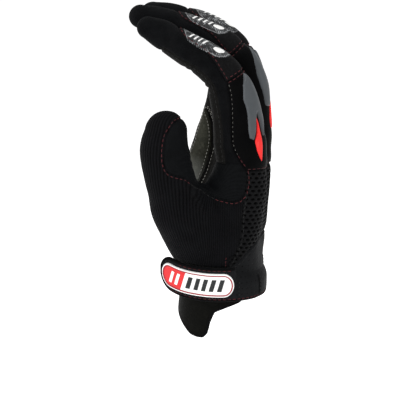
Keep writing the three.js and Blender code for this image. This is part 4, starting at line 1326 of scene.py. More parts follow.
MAT = {
    "finger": knit_fabric(),
    "rib": rib_fabric(),
    "silver": print_ink("print_silver", (0.30, 0.305, 0.31), (0.03, 0.03, 0.03)),
    "gusset": stretch_fabric(),
    "leather": leather("palm_leather", (0.0042, 0.0040, 0.0037), (0.0078, 0.0075, 0.0068), 0.50),
    # the pad's paler lower end is a painted highlight
    "pad": leather("pad_leather", (0.0250, 0.0255, 0.0190), (0.0440, 0.0445, 0.0340), 0.44, 0.8, (96.0, 110.0, (0.120, 0.124, 0.114))),
    "tab": leather("tab_leather", (0.0015, 0.0015, 0.0011), (0.0030, 0.0030, 0.0023), 0.52),
    "knuckle": neoprene(),
    "suede": suede_print(),
    "mesh": spacer_mesh(),
    "cuff": cuff_fabric(),
    "guard": moulded("guard_grey", (0.046, 0.0515, 0.056), (0.095, 0.102, 0.110), 0.34),
    "flame": moulded("guard_red", (0.66, 0.018, 0.016), (0.70, 0.12, 0.10), 0.36),
    "strap": webbing(),
    "edge": webbing("strap_edge", (0.0012, 0.0012, 0.0014), (0.0026, 0.0026, 0.0028), 0.5),
    "white": rubber("patch_rubber", (0.80, 0.80, 0.79)),
    "patch_red": rubber("patch_red", (0.58, 0.020, 0.022), soil=(0.3, 0.05, 0.05)),
    "patch_line": rubber("patch_line", (0.26, 0.010, 0.018), soil=(0.2, 0.05, 0.05)),
    "patch_dark": rubber("patch_dark", (0.010, 0.012, 0.013), soil=(0.05, 0.05, 0.05)),
    "red_thread": thread("red_thread", (0.062, 0.0050, 0.0075), (0.026, 0.0028, 0.004)),
    "grey_thread": thread("grey_thread", (0.26, 0.255, 0.23), (0.12, 0.118, 0.105)),
    "dark_thread": thread("dark_thread", (0.0050, 0.0050, 0.0055), (0.0025, 0.0025, 0.0028)),
    "hatch": hatch_print("print_hatch", (0.26, 0.272, 0.280), (0.0045, 0.0050, 0.0056)),
    "ink": print_ink("print_white", (0.62, 0.62, 0.61), (0.05, 0.05, 0.05)),
    # near-black cord for the pad's groove: painted shade
    "groove": leather("groove_shade", (0.0010, 0.0010, 0.0009), (0.0020, 0.0019, 0.0017), 0.6),
}


# ---- the glove's cloth -------------------------------------------------------------------------
piece("cuff_band", CUFF, "cuff", MAT["cuff"], chart="wrist", per_radian=28.0)
piece("thumb_gusset", GUSSET, ["thumb_stall", "palm_panel"], MAT["gusset"], chart="thumb", per_radian=15.0)
piece("thumb_side_knit", KNIT, ["thumb_side_panel", "thumb_stall"], MAT["rib"], chart="ribs", per_radian=51.0)
piece("palm_leather", LEATHER, "palm_panel", MAT["leather"])
piece("knuckle_cover", KNUCKLE, "knuckle_panel", MAT["knuckle"])
piece("back_mesh", MESH, "mesh_back_panel", MAT["mesh"], chart="wrist", per_radian=28.0)
for i, n in enumerate(NAMES):
    piece(f"{n}_finger_sides", FINGER + i, f"{n}_finger_stall", MAT["finger"])
    piece(f"{n}_finger_back", PRINTED + i, f"{n}_finger_stall", MAT["suede"])


# ---- moulded guards ----------------------------------------------------------------------------
def finger_place(name):
    def place(uv):
        P = on_chart(FULL[name], uv[:, 0], np.degrees(uv[:, 1] / ROUND[name]))
        return P, gradient(P)
    return place


def back_place(y0, z0):
    """From the back of the hand: u towards the little finger, v up."""
    def place(uv):
        P = np.stack([np.full(len(uv), 48.0), uv[:, 0] + y0, uv[:, 1] + z0], 1)
        P = march(P, np.array([-1.0, 0, 0]))
        return P, gradient(P)
    return place


def deg_loop(rows, name, **kw):
    return smooth_loop([(s, math.radians(d) * ROUND[name]) for s, d in rows], **kw)


INDEX_GUARD = [(56.4, -27), (57.8, -19), (61.0, -9), (67.0, 4), (73.5, 10), (78.5, 6), (84.0, -6), (91.6, -22), (90.6, -27),
               (84.0, -28), (77.6, -31.5), (82.0, -40), (87.5, -47), (92.0, -57), (90.6, -67), (85.8, -67), (78.0, -61.5),
               (73.0, -60.5), (68.5, -62.5), (64.5, -58), (60.5, -51.5), (57.8, -38)]
INDEX_FLAME = [(79.2, -36.6), (83.5, -34.0), (89.5, -34.2), (95.0, -35.4), (100.0, -36.6), (104.8, -38.8), (102.0, -46.5),
               (98.0, -53.5), (92.9, -56.2), (88.0, -46.0), (83.6, -40.5)]
GUARD = [(0.0, 28.8), (3.0, 24.8), (5.0, 19.2), (6.2, 12.0), (6.4, 4.0), (5.4, -4.0), (3.7, -9.6), (3.2, -4.8), (1.6, 1.3),
         (0.6, -2.4), (-0.6, -6.4), (-4.4, -5.6), (-5.3, 0.0), (-6.1, 6.4), (-6.2, 12.8), (-4.8, 20.0), (-2.4, 25.6)]
FLAME = [(1.6, 0.0), (2.9, -5.6), (2.6, -12.8), (1.0, -19.2), (-0.5, -20.0), (-1.6, -13.6), (0.0, -7.2), (0.9, -2.8)]
guard_top = dome(1.35, 1.5, crown=0.25)
plate("index_guard_blade", deg_loop(INDEX_GUARD, "index", corner=0.35), finger_place("index"), guard_top, "index_guard",
      MAT["guard"], cell=0.42)
plate("index_guard_point", deg_loop(INDEX_FLAME, "index", corner=0.5), finger_place("index"), dome(1.15, 1.2, crown=0.2),
      "index_guard_flame", MAT["flame"], cell=0.38)
for n, y0, z0 in (("middle", -12.4, 122.5), ("ring", 10.2, 119.0), ("little", 31.5, 105.0)):
    plate(f"{n}_guard_blade", smooth_loop(GUARD, corner=0.7), back_place(y0, z0), dome(0.85, 1.5, crown=0.2), f"{n}_guard",
          MAT["guard"], cell=0.42)
    plate(f"{n}_guard_point", smooth_loop(FLAME, corner=0.6), back_place(y0, z0), dome(0.75, 1.2, crown=0.2),
          f"{n}_guard_flame", MAT["flame"], cell=0.38)


# ---- printed marks on the finger backs -----------------------------------------------------------
def shear(points, centre, width, height, lean=0.35):
    """A slanted bar in the chart, round-cornered."""
    x0, y0 = centre
    return smooth_loop([(x0 + a * width / 2 + lean * b * height / 2, y0 + b * height / 2) for a, b in
                        ((-1, -1), (0, -1), (1, -1), (1, 0), (1, 1), (0, 1), (-1, 1), (-1, 0))], every=0.3, corner=0.25)


def finger_print(name, start, stop, side, shift):
    """A hatched field with a thin outline and plain bars, printed on a finger's back."""
    k = ROUND[name]
    w = k * math.radians(side)
    mid = (start + stop) / 2
    field = smooth_loop([(start, -w * 0.15), (start + 2.2, -w * 0.66), (start + 6, -w * 0.93), (mid, -w * 1.03), (stop - 5, -w),
                         (stop - 1.2, -w * 0.66), (stop, -w * 0.1), (stop, w * 0.25), (stop - 1.5, w * 0.7), (stop - 6, w * 0.96),
                         (mid, w), (start + 6, w * 0.90), (start + 2, w * 0.62), (start, w * 0.25)], every=0.4, corner=0.6)
    place = finger_place(name)
    node, slot = f"{name}_finger_stall", "finger_fabric"
    plate(f"{name}_print_field", field, place, lambda d, uv: -0.10 + 0.17 * step01(0, 0.4, d), node, MAT["hatch"],
          cell=0.5, under=-0.35)
    at = w * shift
    bars = []
    for i in range(4):  # plain slanted bars
        x = start + 6.4 + i * 3.0
        bars.append(shear(None, (x, at), 1.25, w * 0.52, 0.30))
    leaf = smooth_loop([(stop - 9.0, at - w * 0.24), (stop - 5.6, at - w * 0.30), (stop - 3.2, at - w * 0.05),
                        (stop - 3.6, at + w * 0.22), (stop - 6.2, at + w * 0.16), (stop - 8.6, at - w * 0.02)], every=0.35,
                       corner=0.75)
    band = shear(None, (mid + 1.6, at * 0.5), 0.5, w * 1.25, 0.35)
    for j, loop in enumerate(bars + [leaf, band]):
        plate(f"{name}_print_mark_{j}", loop, place, lambda d, uv: 0.02 + 0.12 * step01(0, 0.25, d), node,
              MAT["ink"] if j < 5 else MAT["silver"], cell=0.3, under=-0.3)
    loop = resample(np.concatenate([inset(field, 0.8), inset(field, 0.8)[:1]]), 0.35)
    P, M = place(loop)
    Q, M2 = settle(P)
    tube(f"{name}_print_outline", Q + M * 0.02, 0.12, node, MAT["silver"], ring=8, flat=0.5, normal=M)


def inset(loop, by):
    """The outline moved inwards."""
    t = unit(np.roll(loop, -1, 0) - np.roll(loop, 1, 0))
    n = np.stack([-t[:, 1], t[:, 0]], 1)
    p = loop + n * by
    if inside_of(loop, p[:1])[0] < 0:
        p = loop - n * by
    for _ in range(6):
        p = p * 0.5 + (np.roll(p, 1, 0) + np.roll(p, -1, 0)) * 0.25
    return p


finger_print("index", 18.2, 47.5, 60, -0.42)
finger_print("middle", 24.5, 50.5, 56, -0.36)
finger_print("ring", 23.5, 49.5, 56, -0.1)
finger_print("little", 15.5, 40.0, 54, 0.0)


# ---- palm pad ----------------------------------------------------------------------------------
PAD_LOOP = [(66.8, -152), (68.5, -144), (72.5, -130), (77.0, -118), (82.5, -110), (90.0, -106), (97.0, -107), (104.0, -110),
            (111.0, -118), (116.0, -131), (118.0, -146), (115.0, -157), (107.0, -161), (98.0, -159), (90.0, -155), (82.0, -154),
            (74.0, -155), (68.5, -156)]  # along the little finger's ray, degrees round it
PAD_ROUND = 16.5


def pad_place(uv):
    P = on_chart(FULL["little"], uv[:, 0], np.degrees(uv[:, 1] / PAD_ROUND))
    return P, gradient(P)


pad_loop = smooth_loop([(s, math.radians(d) * PAD_ROUND) for s, d in PAD_LOOP], every=0.5, corner=0.9)


def pad_profile(d, uv):
    t = np.clip(d / 4.5, 0, 1)
    return -0.5 + 2.6 * np.sqrt(1 - (1 - t)**2) + 0.5 * step01(2, 8, d)


pad = plate("palm_pad_cushion", pad_loop, pad_place, pad_profile, "palm_pad", MAT["pad"], cell=0.7, under=-0.9)


def swell(o, cap=1.0):
    """Lets a pad fill out as stuffed cloth does: its own cloth under a little pressure, its back held."""
    me = o.data
    rest = np.array([v.co[:] for v in me.vertices]) / MM
    n = len(rest) // 2
    hold = np.concatenate([step01(1.8, 0.4, EDGE_DEPTH), np.ones(len(rest) - n)])
    group = o.vertex_groups.new(name="held")
    for i, w in enumerate(hold):
        if w > 0:
            group.add([i], float(w), "REPLACE")
    mod = o.modifiers.new("cloth", "CLOTH")
    c = mod.settings
    c.quality = 5
    c.mass = 0.2
    c.tension_stiffness = c.compression_stiffness = 12
    c.bending_stiffness = 0.6
    c.vertex_group_mass = "held"
    c.use_pressure = True
    c.uniform_pressure_force = 4.0
    c.effector_weights.gravity = 0.0
    mod.collision_settings.use_collision = False
    mod.point_cache.frame_start, mod.point_cache.frame_end = 1, 20
    scene = bpy.context.scene
    for f in range(1, 21):
        scene.frame_set(f)
        dep = bpy.context.evaluated_depsgraph_get()
        ev = o.evaluated_get(dep)
        ev.data.vertices[0].co
    moved = np.array([v.co[:] for v in ev.data.vertices]) / MM
    o.modifiers.remove(mod)
    scene.frame_set(1)
    d = moved - rest
    size = np.linalg.norm(d, axis=1, keepdims=True)
    d *= np.minimum(1, cap / np.maximum(size, 1e-9))
    print("pad swelled by at most", round(float(size.max()), 2), "mm")
    me.vertices.foreach_set("co", ((rest + d) * MM).ravel())
    me.update()
    o.vertex_groups.clear()


top = np.array([v.co[:] for v in pad.data.vertices])[: len(pad.data.vertices) // 2] / MM
s_, th_, _ = FULL["little"].polar(top)
th_ = np.where(th_ > 0, th_ - 2 * math.pi, th_)
EDGE_DEPTH = np.maximum(inside_of(pad_loop, np.stack([s_, th_ * PAD_ROUND], 1)), 0)
swell(pad)


def pad_row(by, start=0.0, colour="grey_thread", **kw):
    loop = inset(pad_loop, by) if by > 0 else inset_out(pad_loop, -by)
    loop = resample(np.concatenate([loop, loop[:1]]), 0.3)
    P, M = pad_place(loop)
    dashes(P, colour, **kw)


def inset_out(loop, by):
    t = unit(np.roll(loop, -1, 0) - np.roll(loop, 1, 0))
    n = np.stack([-t[:, 1], t[:, 0]], 1)
    p = loop + n * by
    if inside_of(loop, p[:1])[0] > 0:
        p = loop - n * by
    for _ in range(6):
        p = p * 0.5 + (np.roll(p, 1, 0) + np.roll(p, -1, 0)) * 0.25
    return p


# a rolled edge with a groove beside it, and a row of stitches on each side; the groove is a near-black cord, painted
# shade of the groove
ring = resample(np.concatenate([inset_out(pad_loop, 0.9), inset_out(pad_loop, 0.9)[:1]]), 0.6)
P, M = pad_place(ring)
Q, _ = settle(P)
tube("palm_pad_groove", Q + M * 0.05, 0.55, "palm_pad", MAT["groove"], ring=10, flat=0.55, normal=M)
pad_row(-1.9, long=1.5, gap=0.8, thick=0.2, proud=0.12)
pad_row(-3.0, long=1.5, gap=0.8, thick=0.2, proud=0.12, only=lambda P: P[:, 2] > 90)
PAD_TREE = BVHTree.FromPolygons([tuple(v.co / MM) for v in pad.data.vertices], [tuple(p.vertices) for p in pad.data.polygons])


def on_pad(P):
    out, nor = np.empty_like(P), np.empty_like(P)
    for i, p in enumerate(P):
        c, n, _, _ = PAD_TREE.find_nearest(Vector(p))
        out[i], nor[i] = c, n
    return out, nor


loop = inset(pad_loop, 1.5)
loop = resample(np.concatenate([loop, loop[:1]]), 0.3)
P, M = pad_place(loop)
dashes(P + M * 1.6, "grey_thread", long=1.5, gap=0.8, thick=0.2, proud=0.10, tree=on_pad)


# ---- wrist strap -------------------------------------------------------------------------------
def wrist_radius(angle, z):
    """Distance of the cloth from the wrist's axis."""
    a = np.radians(angle)
    d = np.stack([np.cos(a), np.sin(a), np.zeros_like(a)], 1)
    P = d * 48.0 + np.array([0, 0, 1.0]) * np.asarray(z, float).reshape(-1, 1)
    P = march(P, -d, 60)
    return np.hypot(P[:, 0], P[:, 1])


STRAP_WIDTH, STRAP_THICK, STRAP_Z = 21.0, 2.2, 10.5
angles = np.arange(118.0, -97.5, -5.0)
radius = np.max([wrist_radius(angles, np.full(len(angles), z)) for z in (0.5, 5, 10, 15, 21)], axis=0) + 0.8 + STRAP_THICK / 2
line = np.stack([np.cos(np.radians(angles)) * radius, np.sin(np.radians(angles)) * radius,
                 np.full(len(angles), STRAP_Z)], 1)
line = np.concatenate([line, [(-12.0, -36.0, 10.9), (-19.0, -35.4, 12.0), (-26.0, -33.8, 14.0), (-32.0, -31.2, 16.8),
                              (-36.4, -28.4, 19.0)]])


class Path:
    def __init__(self, pts, step=0.5):
        pts = np.asarray(pts, float)
        t = np.concatenate([[0], np.cumsum(np.linalg.norm(np.diff(pts, axis=0), axis=1))])
        u = np.linspace(0, t[-1], int(t[-1] / step) + 2)
        self.c = np.stack([hermite(t, pts[:, k], u) for k in range(3)], 1)
        for _ in range(30):
            self.c[1:-1] = self.c[1:-1] * 0.5 + (self.c[:-2] + self.c[2:]) * 0.25
        self.s = np.concatenate([[0], np.cumsum(np.linalg.norm(np.diff(self.c, axis=0), axis=1))])
        tan = np.gradient(self.c, axis=0)
        tan[:, 2] = 0
        tan = unit(tan)
        self.n = np.stack([-tan[:, 1], tan[:, 0], np.zeros(len(tan))], 1)
        flip = (self.n * self.c)[:, :2].sum(1) < 0
        self.n[flip] *= -1

    def at(self, s):
        c = np.stack([np.interp(s, self.s, self.c[:, k]) for k in range(3)], 1)
        n = unit(np.stack([np.interp(s, self.s, self.n[:, k]) for k in range(3)], 1))
        return c, n

    def s_of_x(self, x):
        ok = np.nonzero((self.c[:, 0] <= x) & (self.c[:, 1] < -15))[0]
        return self.s[ok[0]]


STRAP = Path(line)
LENGTH = STRAP.s[-1]


LEVELS = np.array([0.5, 5.0, 10.0, 15.0, 21.0])
TAPER = np.array([wrist_radius(angles, np.full(len(angles), z)) for z in LEVELS])  # the wrist narrows under the strap
TAPER = np.maximum(TAPER.max(0)[None] - TAPER - 0.5, 0)
FREE = STRAP.s_of_x(-2.0)


def strap_sink(s, z):
    """How far the strap leans in to lie on the cuff."""
    turn = np.degrees(np.unwrap(np.arctan2(STRAP.c[:, 1], STRAP.c[:, 0])))
    at = (angles[0] - np.interp(s, STRAP.s, turn)) / 5.0
    at = np.clip(at, 0, len(angles) - 1.001)
    k = at.astype(int)
    w = at - k
    lev = np.interp(z, LEVELS, np.arange(5.0))
    j = np.minimum(lev.astype(int), 3)
    u = lev - j
    t = ((TAPER[j, k] * (1 - w) + TAPER[j, k + 1] * w) * (1 - u) + (TAPER[j + 1, k] * (1 - w) + TAPER[j + 1, k + 1] * w) * u)
    return np.minimum(t, 4.5) * 0.85 * step01(FREE, FREE - 22.0, s)


def strap_place(out, bow=0.0):
    def place(uv):
        c, n = STRAP.at(np.clip(uv[:, 0], 0, LENGTH))
        P = c + n * out + np.array([0, 0, 1.0]) * uv[:, 1:2]
        # the two long edges curl in very slightly
        P = P - n * (0.035 * (np.abs(uv[:, 1:2]) / 10.5)**4 * 10)
        P = P - n * strap_sink(uv[:, 0], P[:, 2])[:, None]
        return P, n
    return place


def stadium(s0, s1, half, round0=True, round1=True, every=0.6, squareness=0.85):
    out = []
    k = 18
    r = half * squareness
    if round1:
        for a in np.linspace(-math.pi / 2, math.pi / 2, k):
            out.append((s1 - r + r * math.cos(a), half * math.sin(a)))
    else:
        out += [(s1, -half), (s1, half)]
    if round0:
        for a in np.linspace(math.pi / 2, 3 * math.pi / 2, k):
            out.append((s0 + r + r * math.cos(a), half * math.sin(a)))
    else:
        out += [(s0, half), (s0, -half)]
    p = np.array(out)
    return resample(np.concatenate([p, p[:1]]), every)


strap_loop = stadium(0.0, LENGTH, STRAP_WIDTH / 2, round0=False)


BACK = np.degrees(np.arctan2(STRAP.c[:, 1], STRAP.c[:, 0]))
SEWN_FROM = STRAP.s[np.nonzero(BACK < 26.0)[0][0]]
SEWN_TO = STRAP.s_of_x(9.5)  # between these the strap runs up into the cuff's cloth
HOOK = STRAP.s_of_x(23.4)  # a bound edge seen on it


def sewn(uv):
    return step01(SEWN_FROM - 0.6, SEWN_FROM + 0.8, uv[:, 0]) * step01(SEWN_TO + 2.0, SEWN_TO - 2.0, uv[:, 0])


def strap_top(d, uv):
    rim = 1.7
    t = np.clip(d / 0.7, 0, 1)
    edge = STRAP_THICK / 2 * np.sqrt(1 - (1 - t)**2)
    groove = -0.38 * np.exp(-((d - rim) / 0.35)**2)
    puff = 0.12 * step01(rim, rim + 3, d)
    wob = noise(np.stack([uv[:, 0], uv[:, 1], 0 * uv[:, 0]], 1), 9.0, 11) * 0.10
    own = edge + groove + puff + wob * step01(0.5, 3, d)
    below = STRAP_WIDTH / 2 - uv[:, 1]  # mm under the upper edge
    lower = STRAP_WIDTH / 2 + uv[:, 1]
    rise = -3.1 + (STRAP_THICK / 2 + 3.1) * step01(-1.0, 12.0, below)
    rim_low = STRAP_THICK / 2 * np.sqrt(1 - (1 - np.clip(lower / 0.7, 0, 1))**2) - STRAP_THICK / 2
    merged = rise + rim_low - 0.38 * np.exp(-((lower - rim) / 0.35)**2)
    hook = np.maximum.reduce([np.abs(uv[:, 0] - HOOK) - 1.5, -9.1 - uv[:, 1], uv[:, 1] - 3.6])
    merged = merged + 0.5 * step01(0.3, -0.6, hook)
    w = sewn(uv)
    return own * (1 - w) + merged * w


def strap_under(uv):
    return -STRAP_THICK / 2 - 2.3 * sewn(uv)


plate("wrist_strap_band", strap_loop, strap_place(0.0), strap_top, "wrist_strap",
      [MAT["edge"], MAT["strap"], MAT["cuff"], MAT["edge"]], cell=0.62, under=strap_under, fit=False,
      paint=[lambda uv: 1.55 - inside_of(strap_loop, uv),
             lambda uv: np.maximum.reduce([SEWN_FROM + 0.9 - uv[:, 0], uv[:, 0] - SEWN_TO, -STRAP_WIDTH / 2 + 1.6 - uv[:, 1]]),
             lambda uv: np.maximum.reduce([np.abs(uv[:, 0] - HOOK) - 1.5, -9.1 - uv[:, 1], uv[:, 1] - 3.6])])

label_from, label_to = STRAP.s_of_x(8.0), STRAP.s_of_x(-34.2)
LABEL_HALF = 7.3
label_loop = stadium(label_from, label_to, LABEL_HALF, every=0.5)
LB = STRAP_THICK / 2


def label_depth(uv):
    return inside_of(label_loop, uv)


red_from = label_to - 14.2  # the red end starts here


def slanted(s, v, lean=-0.28):
    return s - v * lean


def bar(s0, s1, v0, v1, lean=-0.28):
    """Field of a slanted bar, negative inside."""
    def f(uv):
        s = slanted(uv[:, 0], uv[:, 1], lean)
        return np.maximum.reduce([s0 - s, s - s1, v0 - uv[:, 1], uv[:, 1] - v1])
    return f


def union(*fs):
    return lambda uv: np.minimum.reduce([f(uv) for f in fs])


def within(f, depth):
    return lambda uv: np.maximum(f(uv), depth - label_depth(uv))


def ring_line(uv):
    return np.abs(label_depth(uv) - 1.3) - 0.38


def red_end(uv):
    s = slanted(uv[:, 0], uv[:, 1])
    return np.maximum(red_from - s, 1.15 - label_depth(uv))


white_marks = within(union(bar(red_from + 2.6, red_from + 4.4, -3.7, 3.7), bar(red_from + 6.2, red_from + 8.0, -3.7, 3.7)), 2.2)
first, last = red_from - 2.4, label_from + 4.4
pitch = (first - last) / 5
dark_marks = union(*[bar(first - k * pitch - pitch * 0.56, first - k * pitch, -3.7, 3.7) for k in range(5)])


def label_top(d, uv):
    t = np.clip(d / 0.6, 0, 1)
    h = LB + 1.25 * np.sqrt(1 - (1 - t)**2)
    h = h - 0.34 * step01(0.85, 1.2, d)  # the field lies below the rim
    for f in (ring_line, white_marks, dark_marks):
        h = h + 0.22 * step01(0.12, -0.12, f(uv))
    return h


plate("strap_label_patch", label_loop, strap_place(0.0), label_top, "strap_label",
      [MAT["white"], MAT["patch_red"], MAT["white"], MAT["patch_dark"], MAT["patch_line"]], cell=0.3, under=LB - 0.25,
      fit=False, paint=[red_end, white_marks, dark_marks, ring_line])


def strap_surface(P):
    """Strap stitches lie on its own face."""
    return P, STRAP_NORMALS(P)


def STRAP_NORMALS(P):
    d = ((P[:, None, :2] - STRAP.c[None, ::4, :2])**2).sum(2).argmin(1) * 4
    return STRAP.n[np.minimum(d, len(STRAP.n) - 1)]


def strap_row(v, s0, s1, colour, **kw):
    s = np.arange(s0, s1, 0.5)
    P, n = strap_place(STRAP_THICK / 2 - 0.30)(np.stack([s, np.full(len(s), v)], 1))
    dashes(P, colour, tree=strap_surface, **kw)


EDGE = STRAP_WIDTH / 2 - 1.75
strap_row(EDGE, 3, SEWN_FROM - 1.5, "red_thread", long=1.9, gap=1.0, thick=0.2, proud=0.16)
strap_row(EDGE, SEWN_TO + 3.0, label_to - 9, "red_thread", long=1.9, gap=1.0, thick=0.2, proud=0.16)
strap_row(-EDGE, 3, label_to - 4, "red_thread", long=1.9, gap=1.0, thick=0.2, proud=0.16)
for s0, colour, top in ((SEWN_FROM - 1.2, "dark_thread", EDGE - 0.8), (SEWN_FROM - 2.7, "red_thread", EDGE - 0.8),
                        (HOOK - 0.75, "dark_thread", 3.0), (HOOK + 0.75, "dark_thread", 3.0)):  # where it comes out again
    v = np.arange(-EDGE + 0.8, top, 0.4)
    out = np.full(len(v), STRAP_THICK / 2 + 0.05) if top > 4 else strap_top(np.full(len(v), 5.0), np.stack([np.full(len(v), s0), v], 1))
    P, n = strap_place(0.0)(np.stack([np.full(len(v), s0), v], 1))
    P = P + n * out[:, None]
    dashes(P, colour, tree=strap_surface, long=1.5, gap=0.8, thick=0.22, proud=0.12)
# the free end's seam runs round it
a = np.linspace(-math.pi / 2, math.pi / 2, 60)
endline = np.stack([LENGTH - 9.0 + (9.0 - 1.75) * np.cos(a), EDGE * np.sin(a)], 1)
P, n = strap_place(STRAP_THICK / 2 - 0.30)(endline)
dashes(P, "dark_thread", tree=strap_surface, long=1.6, gap=0.8, thick=0.28, proud=0.14)
for s0 in (SEWN_TO - 1.6,):
    v = np.arange(-EDGE + 1.2, EDGE - 4.5, 0.4)
    P, n = strap_place(STRAP_THICK / 2 + 0.0)(np.stack([np.full(len(v), s0), v], 1))
    dashes(P, "dark_thread", tree=strap_surface, long=1.6, gap=0.9, thick=0.24, proud=0.10)


# ---- pull tab ----------------------------------------------------------------------------------
TAB = [(-70, -1.0), (-84, -3.8), (-97, -7.0), (-102.5, -14.0), (-105.5, -20.5), (-110, -23.2), (-117, -23.2), (-125, -22.0),
       (-135, -18.0), (-147, -14.0), (-165, -11.0), (-188, -7.0), (-204, -3.0), (-212, -1.0)]
TAB_ROUND = 26.0


def tab_radius(angle):
    wrapped = (angle + 180) % 360 - 180
    return wrist_radius(wrapped, np.full(len(angle), 0.6))


def tab_place(uv):
    ang = np.degrees(uv[:, 0] / TAB_ROUND)
    grid = np.arange(-216.0, -60.0, 3.0)
    r = np.interp(ang, grid, TAB_TABLE)
    low = step01(2.0, -20.0, uv[:, 1])
    fold = np.sin((ang + 80) / 13.0) * 0.5 * low
    r = r - 0.35 + fold - 0.4 * low + 1.5 * low * np.exp(-((ang + 168) / 30.0)**2)
    a = np.radians(ang)
    n = np.stack([np.cos(a), np.sin(a), np.zeros_like(a)], 1)
    P = n * r[:, None]
    P[:, 2] = uv[:, 1]
    return P, n


TAB_TABLE = tab_radius(np.arange(-216.0, -60.0, 3.0))
tab_points = [(math.radians(a) * TAB_ROUND, z) for a, z in TAB]
tab_points = [(tab_points[0][0], 1.6)] + tab_points + [(tab_points[-1][0], 1.6)]
tab_loop = smooth_loop(tab_points + [((tab_points[0][0] + tab_points[-1][0]) / 2, 1.6)], every=0.6, corner=0.3)


def tab_top(d, uv):
    t = np.clip(d / 0.7, 0, 1)
    wob = noise(np.stack([uv[:, 0], uv[:, 1], 0 * uv[:, 0]], 1), 7.0, 12) * 0.22
    return -0.6 + 0.6 * np.sqrt(1 - (1 - t)**2) + wob * step01(0.5, 3, d)


plate("pull_tab_leather", tab_loop, tab_place, tab_top, "pull_tab", MAT["tab"], cell=0.7, under=-1.6, fit=False)
edge = resample(smooth_loop(tab_points, every=0.5, corner=0.3)[3:], 0.6)
low = edge[edge[:, 1] < 0.9]
P, n = tab_place(low)
tube("pull_tab_piping", P - n * 0.75, 0.95, "pull_tab", MAT["edge"], ring=10, normal=n)


# ---- hem ---------------------------------------------------------------------------------------
ang = np.arange(-180.0, 180.0, 3.0)
r = wrist_radius(ang, np.full(len(ang), 0.8)) - WALL / 2
P = np.stack([np.cos(np.radians(ang)) * r, np.sin(np.radians(ang)) * r, np.full(len(ang), 0.9)], 1)
n = np.stack([np.cos(np.radians(ang)), np.sin(np.radians(ang)), 0 * ang], 1)
tube("hem_binding", P, 1.15, "cuff", MAT["edge"], ring=12, flat=0.95, close=True, normal=n)


# ---- stitched seams ----------------------------------------------------------------------------
def seam_rows(pair, sides, colour, **kw):
    """Stitches beside every seam between two pieces; sides holds (label to lie on, distance)."""
    for labels, line in seam_lines:
        if labels != pair or len(line) < 5:
            continue
        for side, away in sides:
            near_faces = F[L == side]
            cand = BASE[np.unique(near_faces)]
            mid = line[len(line) // 2]
            reach = np.linalg.norm(line - mid, axis=1).max() + 8
            cand = cand[np.linalg.norm(cand - mid, axis=1) < reach]
            if len(cand) < 10:
                continue
            lab_d = nearest_distance(line, cand)
            cand = cand[(lab_d > 1.0) & (lab_d < 4.0)]
            if len(cand) < 5:
                continue
            q = offset_row(line, cand, away)
            if q is not None:
                dashes(q, colour, **kw)


def nearest_distance(line, P):
    kd = KDTree(len(line))
    for i, p in enumerate(line):
        kd.insert(p, i)
    kd.balance()
    return np.array([kd.find(p)[2] for p in P])


# a small bound slit where the rib knit, the mesh and the cuff meet
def on_side(points):
    P = np.array([(x, -62.0, z) for x, z in resample(points, 0.4)])
    return march(P, np.array([0.0, 1.0, 0.0]))


slit = on_side(np.array([(4.6, 25.2), (6.2, 27.4), (8.4, 28.0), (10.2, 27.0), (10.8, 25.2)]))
Q, M = settle(slit)
tube("side_slit_binding", Q + M * 0.1, 0.55, "cuff", MAT["edge"], ring=10, flat=0.7, normal=M)
dashes(on_side(np.array([(3.2, 21.0), (3.0, 25.0), (3.6, 29.0)])), "red_thread", long=1.5, gap=0.8)


# the web's fold, where the seam's stitches are painted in shade
def in_fold(P):
    return (P[:, 0] > -17.5) & (P[:, 0] < -3.5) & (P[:, 1] < -18)


def on_wall(P):
    """The upright part of the seam beside the first knuckle."""
    return (P[:, 2] > 91) & (P[:, 1] < -24)


seam_rows((GUSSET, KNIT), [(KNIT, 1.25)], "red_thread", only=lambda P: ~in_fold(P))
# inside the web's fold the seam's stitches are dark thread: painted shade of the fold over the red stitches
seam_rows((GUSSET, KNIT), [(KNIT, 1.25)], "dark_thread", only=in_fold)
seam_rows((GUSSET, MESH), [(MESH, 1.3)], "red_thread")
seam_rows((GUSSET, KNUCKLE), [(KNUCKLE, 1.3)], "red_thread")
seam_rows((KNUCKLE, MESH), [(KNUCKLE, 1.3)], "red_thread")
seam_rows((MESH, KNIT), [(MESH, 1.3)], "dark_thread")
seam_rows((CUFF, MESH), [(CUFF, 1.4)], "dark_thread")
seam_rows((CUFF, KNIT), [(CUFF, 1.4)], "red_thread")
seam_rows((KNUCKLE, FINGER), [(KNUCKLE, 1.25)], "grey_thread", only=on_wall, long=1.2, gap=1.5, thick=0.07, proud=0.05)
for i in range(4):
    seam_rows((KNUCKLE, PRINTED + i), [(PRINTED + i, 1.3), (KNUCKLE, 1.2)], "red_thread")
    seam_rows((PRINTED + i, FINGER + i), [(PRINTED + i, 1.2)], "red_thread")
    seam_rows((KNUCKLE, FINGER + i), [(KNUCKLE, 1.25)], "red_thread", only=lambda P: ~on_wall(P))
    seam_rows((LEATHER, FINGER + i), [(LEATHER, 1.3)], "dark_thread")
seam_rows((LEATHER, KNIT), [(LEATHER, 1.3)], "dark_thread")
seam_rows((LEATHER, MESH), [(LEATHER, 1.3)], "dark_thread")
for name in THREADS:
    thread_object(name + "_stitches", name, MAT[name])


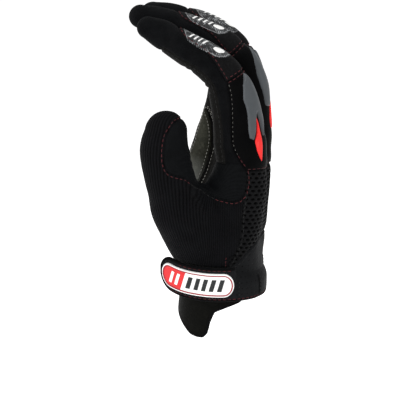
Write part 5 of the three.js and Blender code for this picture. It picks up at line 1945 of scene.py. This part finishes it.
# ---- stage, camera and light -------------------------------------------------------------------
def plain_floor():
    g = Graph("studio_floor")
    cloud = g.noise(160.0, 2)
    c = g.mix(g.span(cloud, 0.3, 0.7), (0.80, 0.80, 0.80), (0.82, 0.82, 0.82))
    mat = g.finish(c, 0.8, total(g, (g.noise(2.0, 2), 0.01)), specular=0.1)
    g.bsdf.inputs["Emission Color"].default_value = (1.0, 1.0, 1.0, 1.0)
    g.bsdf.inputs["Emission Strength"].default_value = 0.6
    side = 60.0
    me = bpy.data.meshes.new("floor")
    me.from_pydata([(-side, -side, -0.075), (side, -side, -0.075), (side, side, -0.075), (-side, side, -0.075)], [],
                   [(0, 1, 2, 3)])
    me.materials.append(mat)
    o = bpy.data.objects.new("floor", me)
    bpy.context.scene.collection.objects.link(o)


plain_floor()
scene = bpy.context.scene
cam = bpy.data.cameras.new("camera")
cam.lens, cam.sensor_width, cam.dof.use_dof = 145.2, 36.0, False
cam.clip_start, cam.clip_end = 0.05, 120.0
camera = bpy.data.objects.new("camera", cam)
camera.location = (-0.0124, -0.9816, 0.2464)
camera.rotation_euler = (math.radians(79.0), 0.0, 0.0)
scene.collection.objects.link(camera)
scene.camera = camera


def area(name, where, at, size, power, colour=(1, 1, 1), wide=None):
    d = bpy.data.lights.new(name, "AREA")
    d.energy, d.color, d.size = power, colour, size
    if wide:
        d.shape, d.size_y = "RECTANGLE", wide
    o = bpy.data.objects.new(name, d)
    o.location = where
    o.rotation_euler = (Vector(at) - Vector(where)).to_track_quat("-Z", "Y").to_euler()
    scene.collection.objects.link(o)


area("top_light", (0.1, -0.15, 1.0), (0, 0, 0.08), 0.9, 8)
area("left_light", (-0.9, -0.5, 0.35), (-0.02, 0, 0.09), 0.6, 6.0, wide=0.9)
area("right_light", (0.95, -0.35, 0.35), (0.0, 0, 0.09), 0.6, 1.2, wide=0.9)
area("front_light", (-0.25, -1.3, 0.75), (0, 0, 0.09), 0.8, 3.4)
world = bpy.data.worlds.new("studio")
world.use_nodes = True
world.node_tree.nodes["Background"].inputs[0].default_value = (1.0, 1.0, 1.0, 1.0)
world.node_tree.nodes["Background"].inputs[1].default_value = 0.55
scene.world = world
scene.view_settings.view_transform = "Standard"
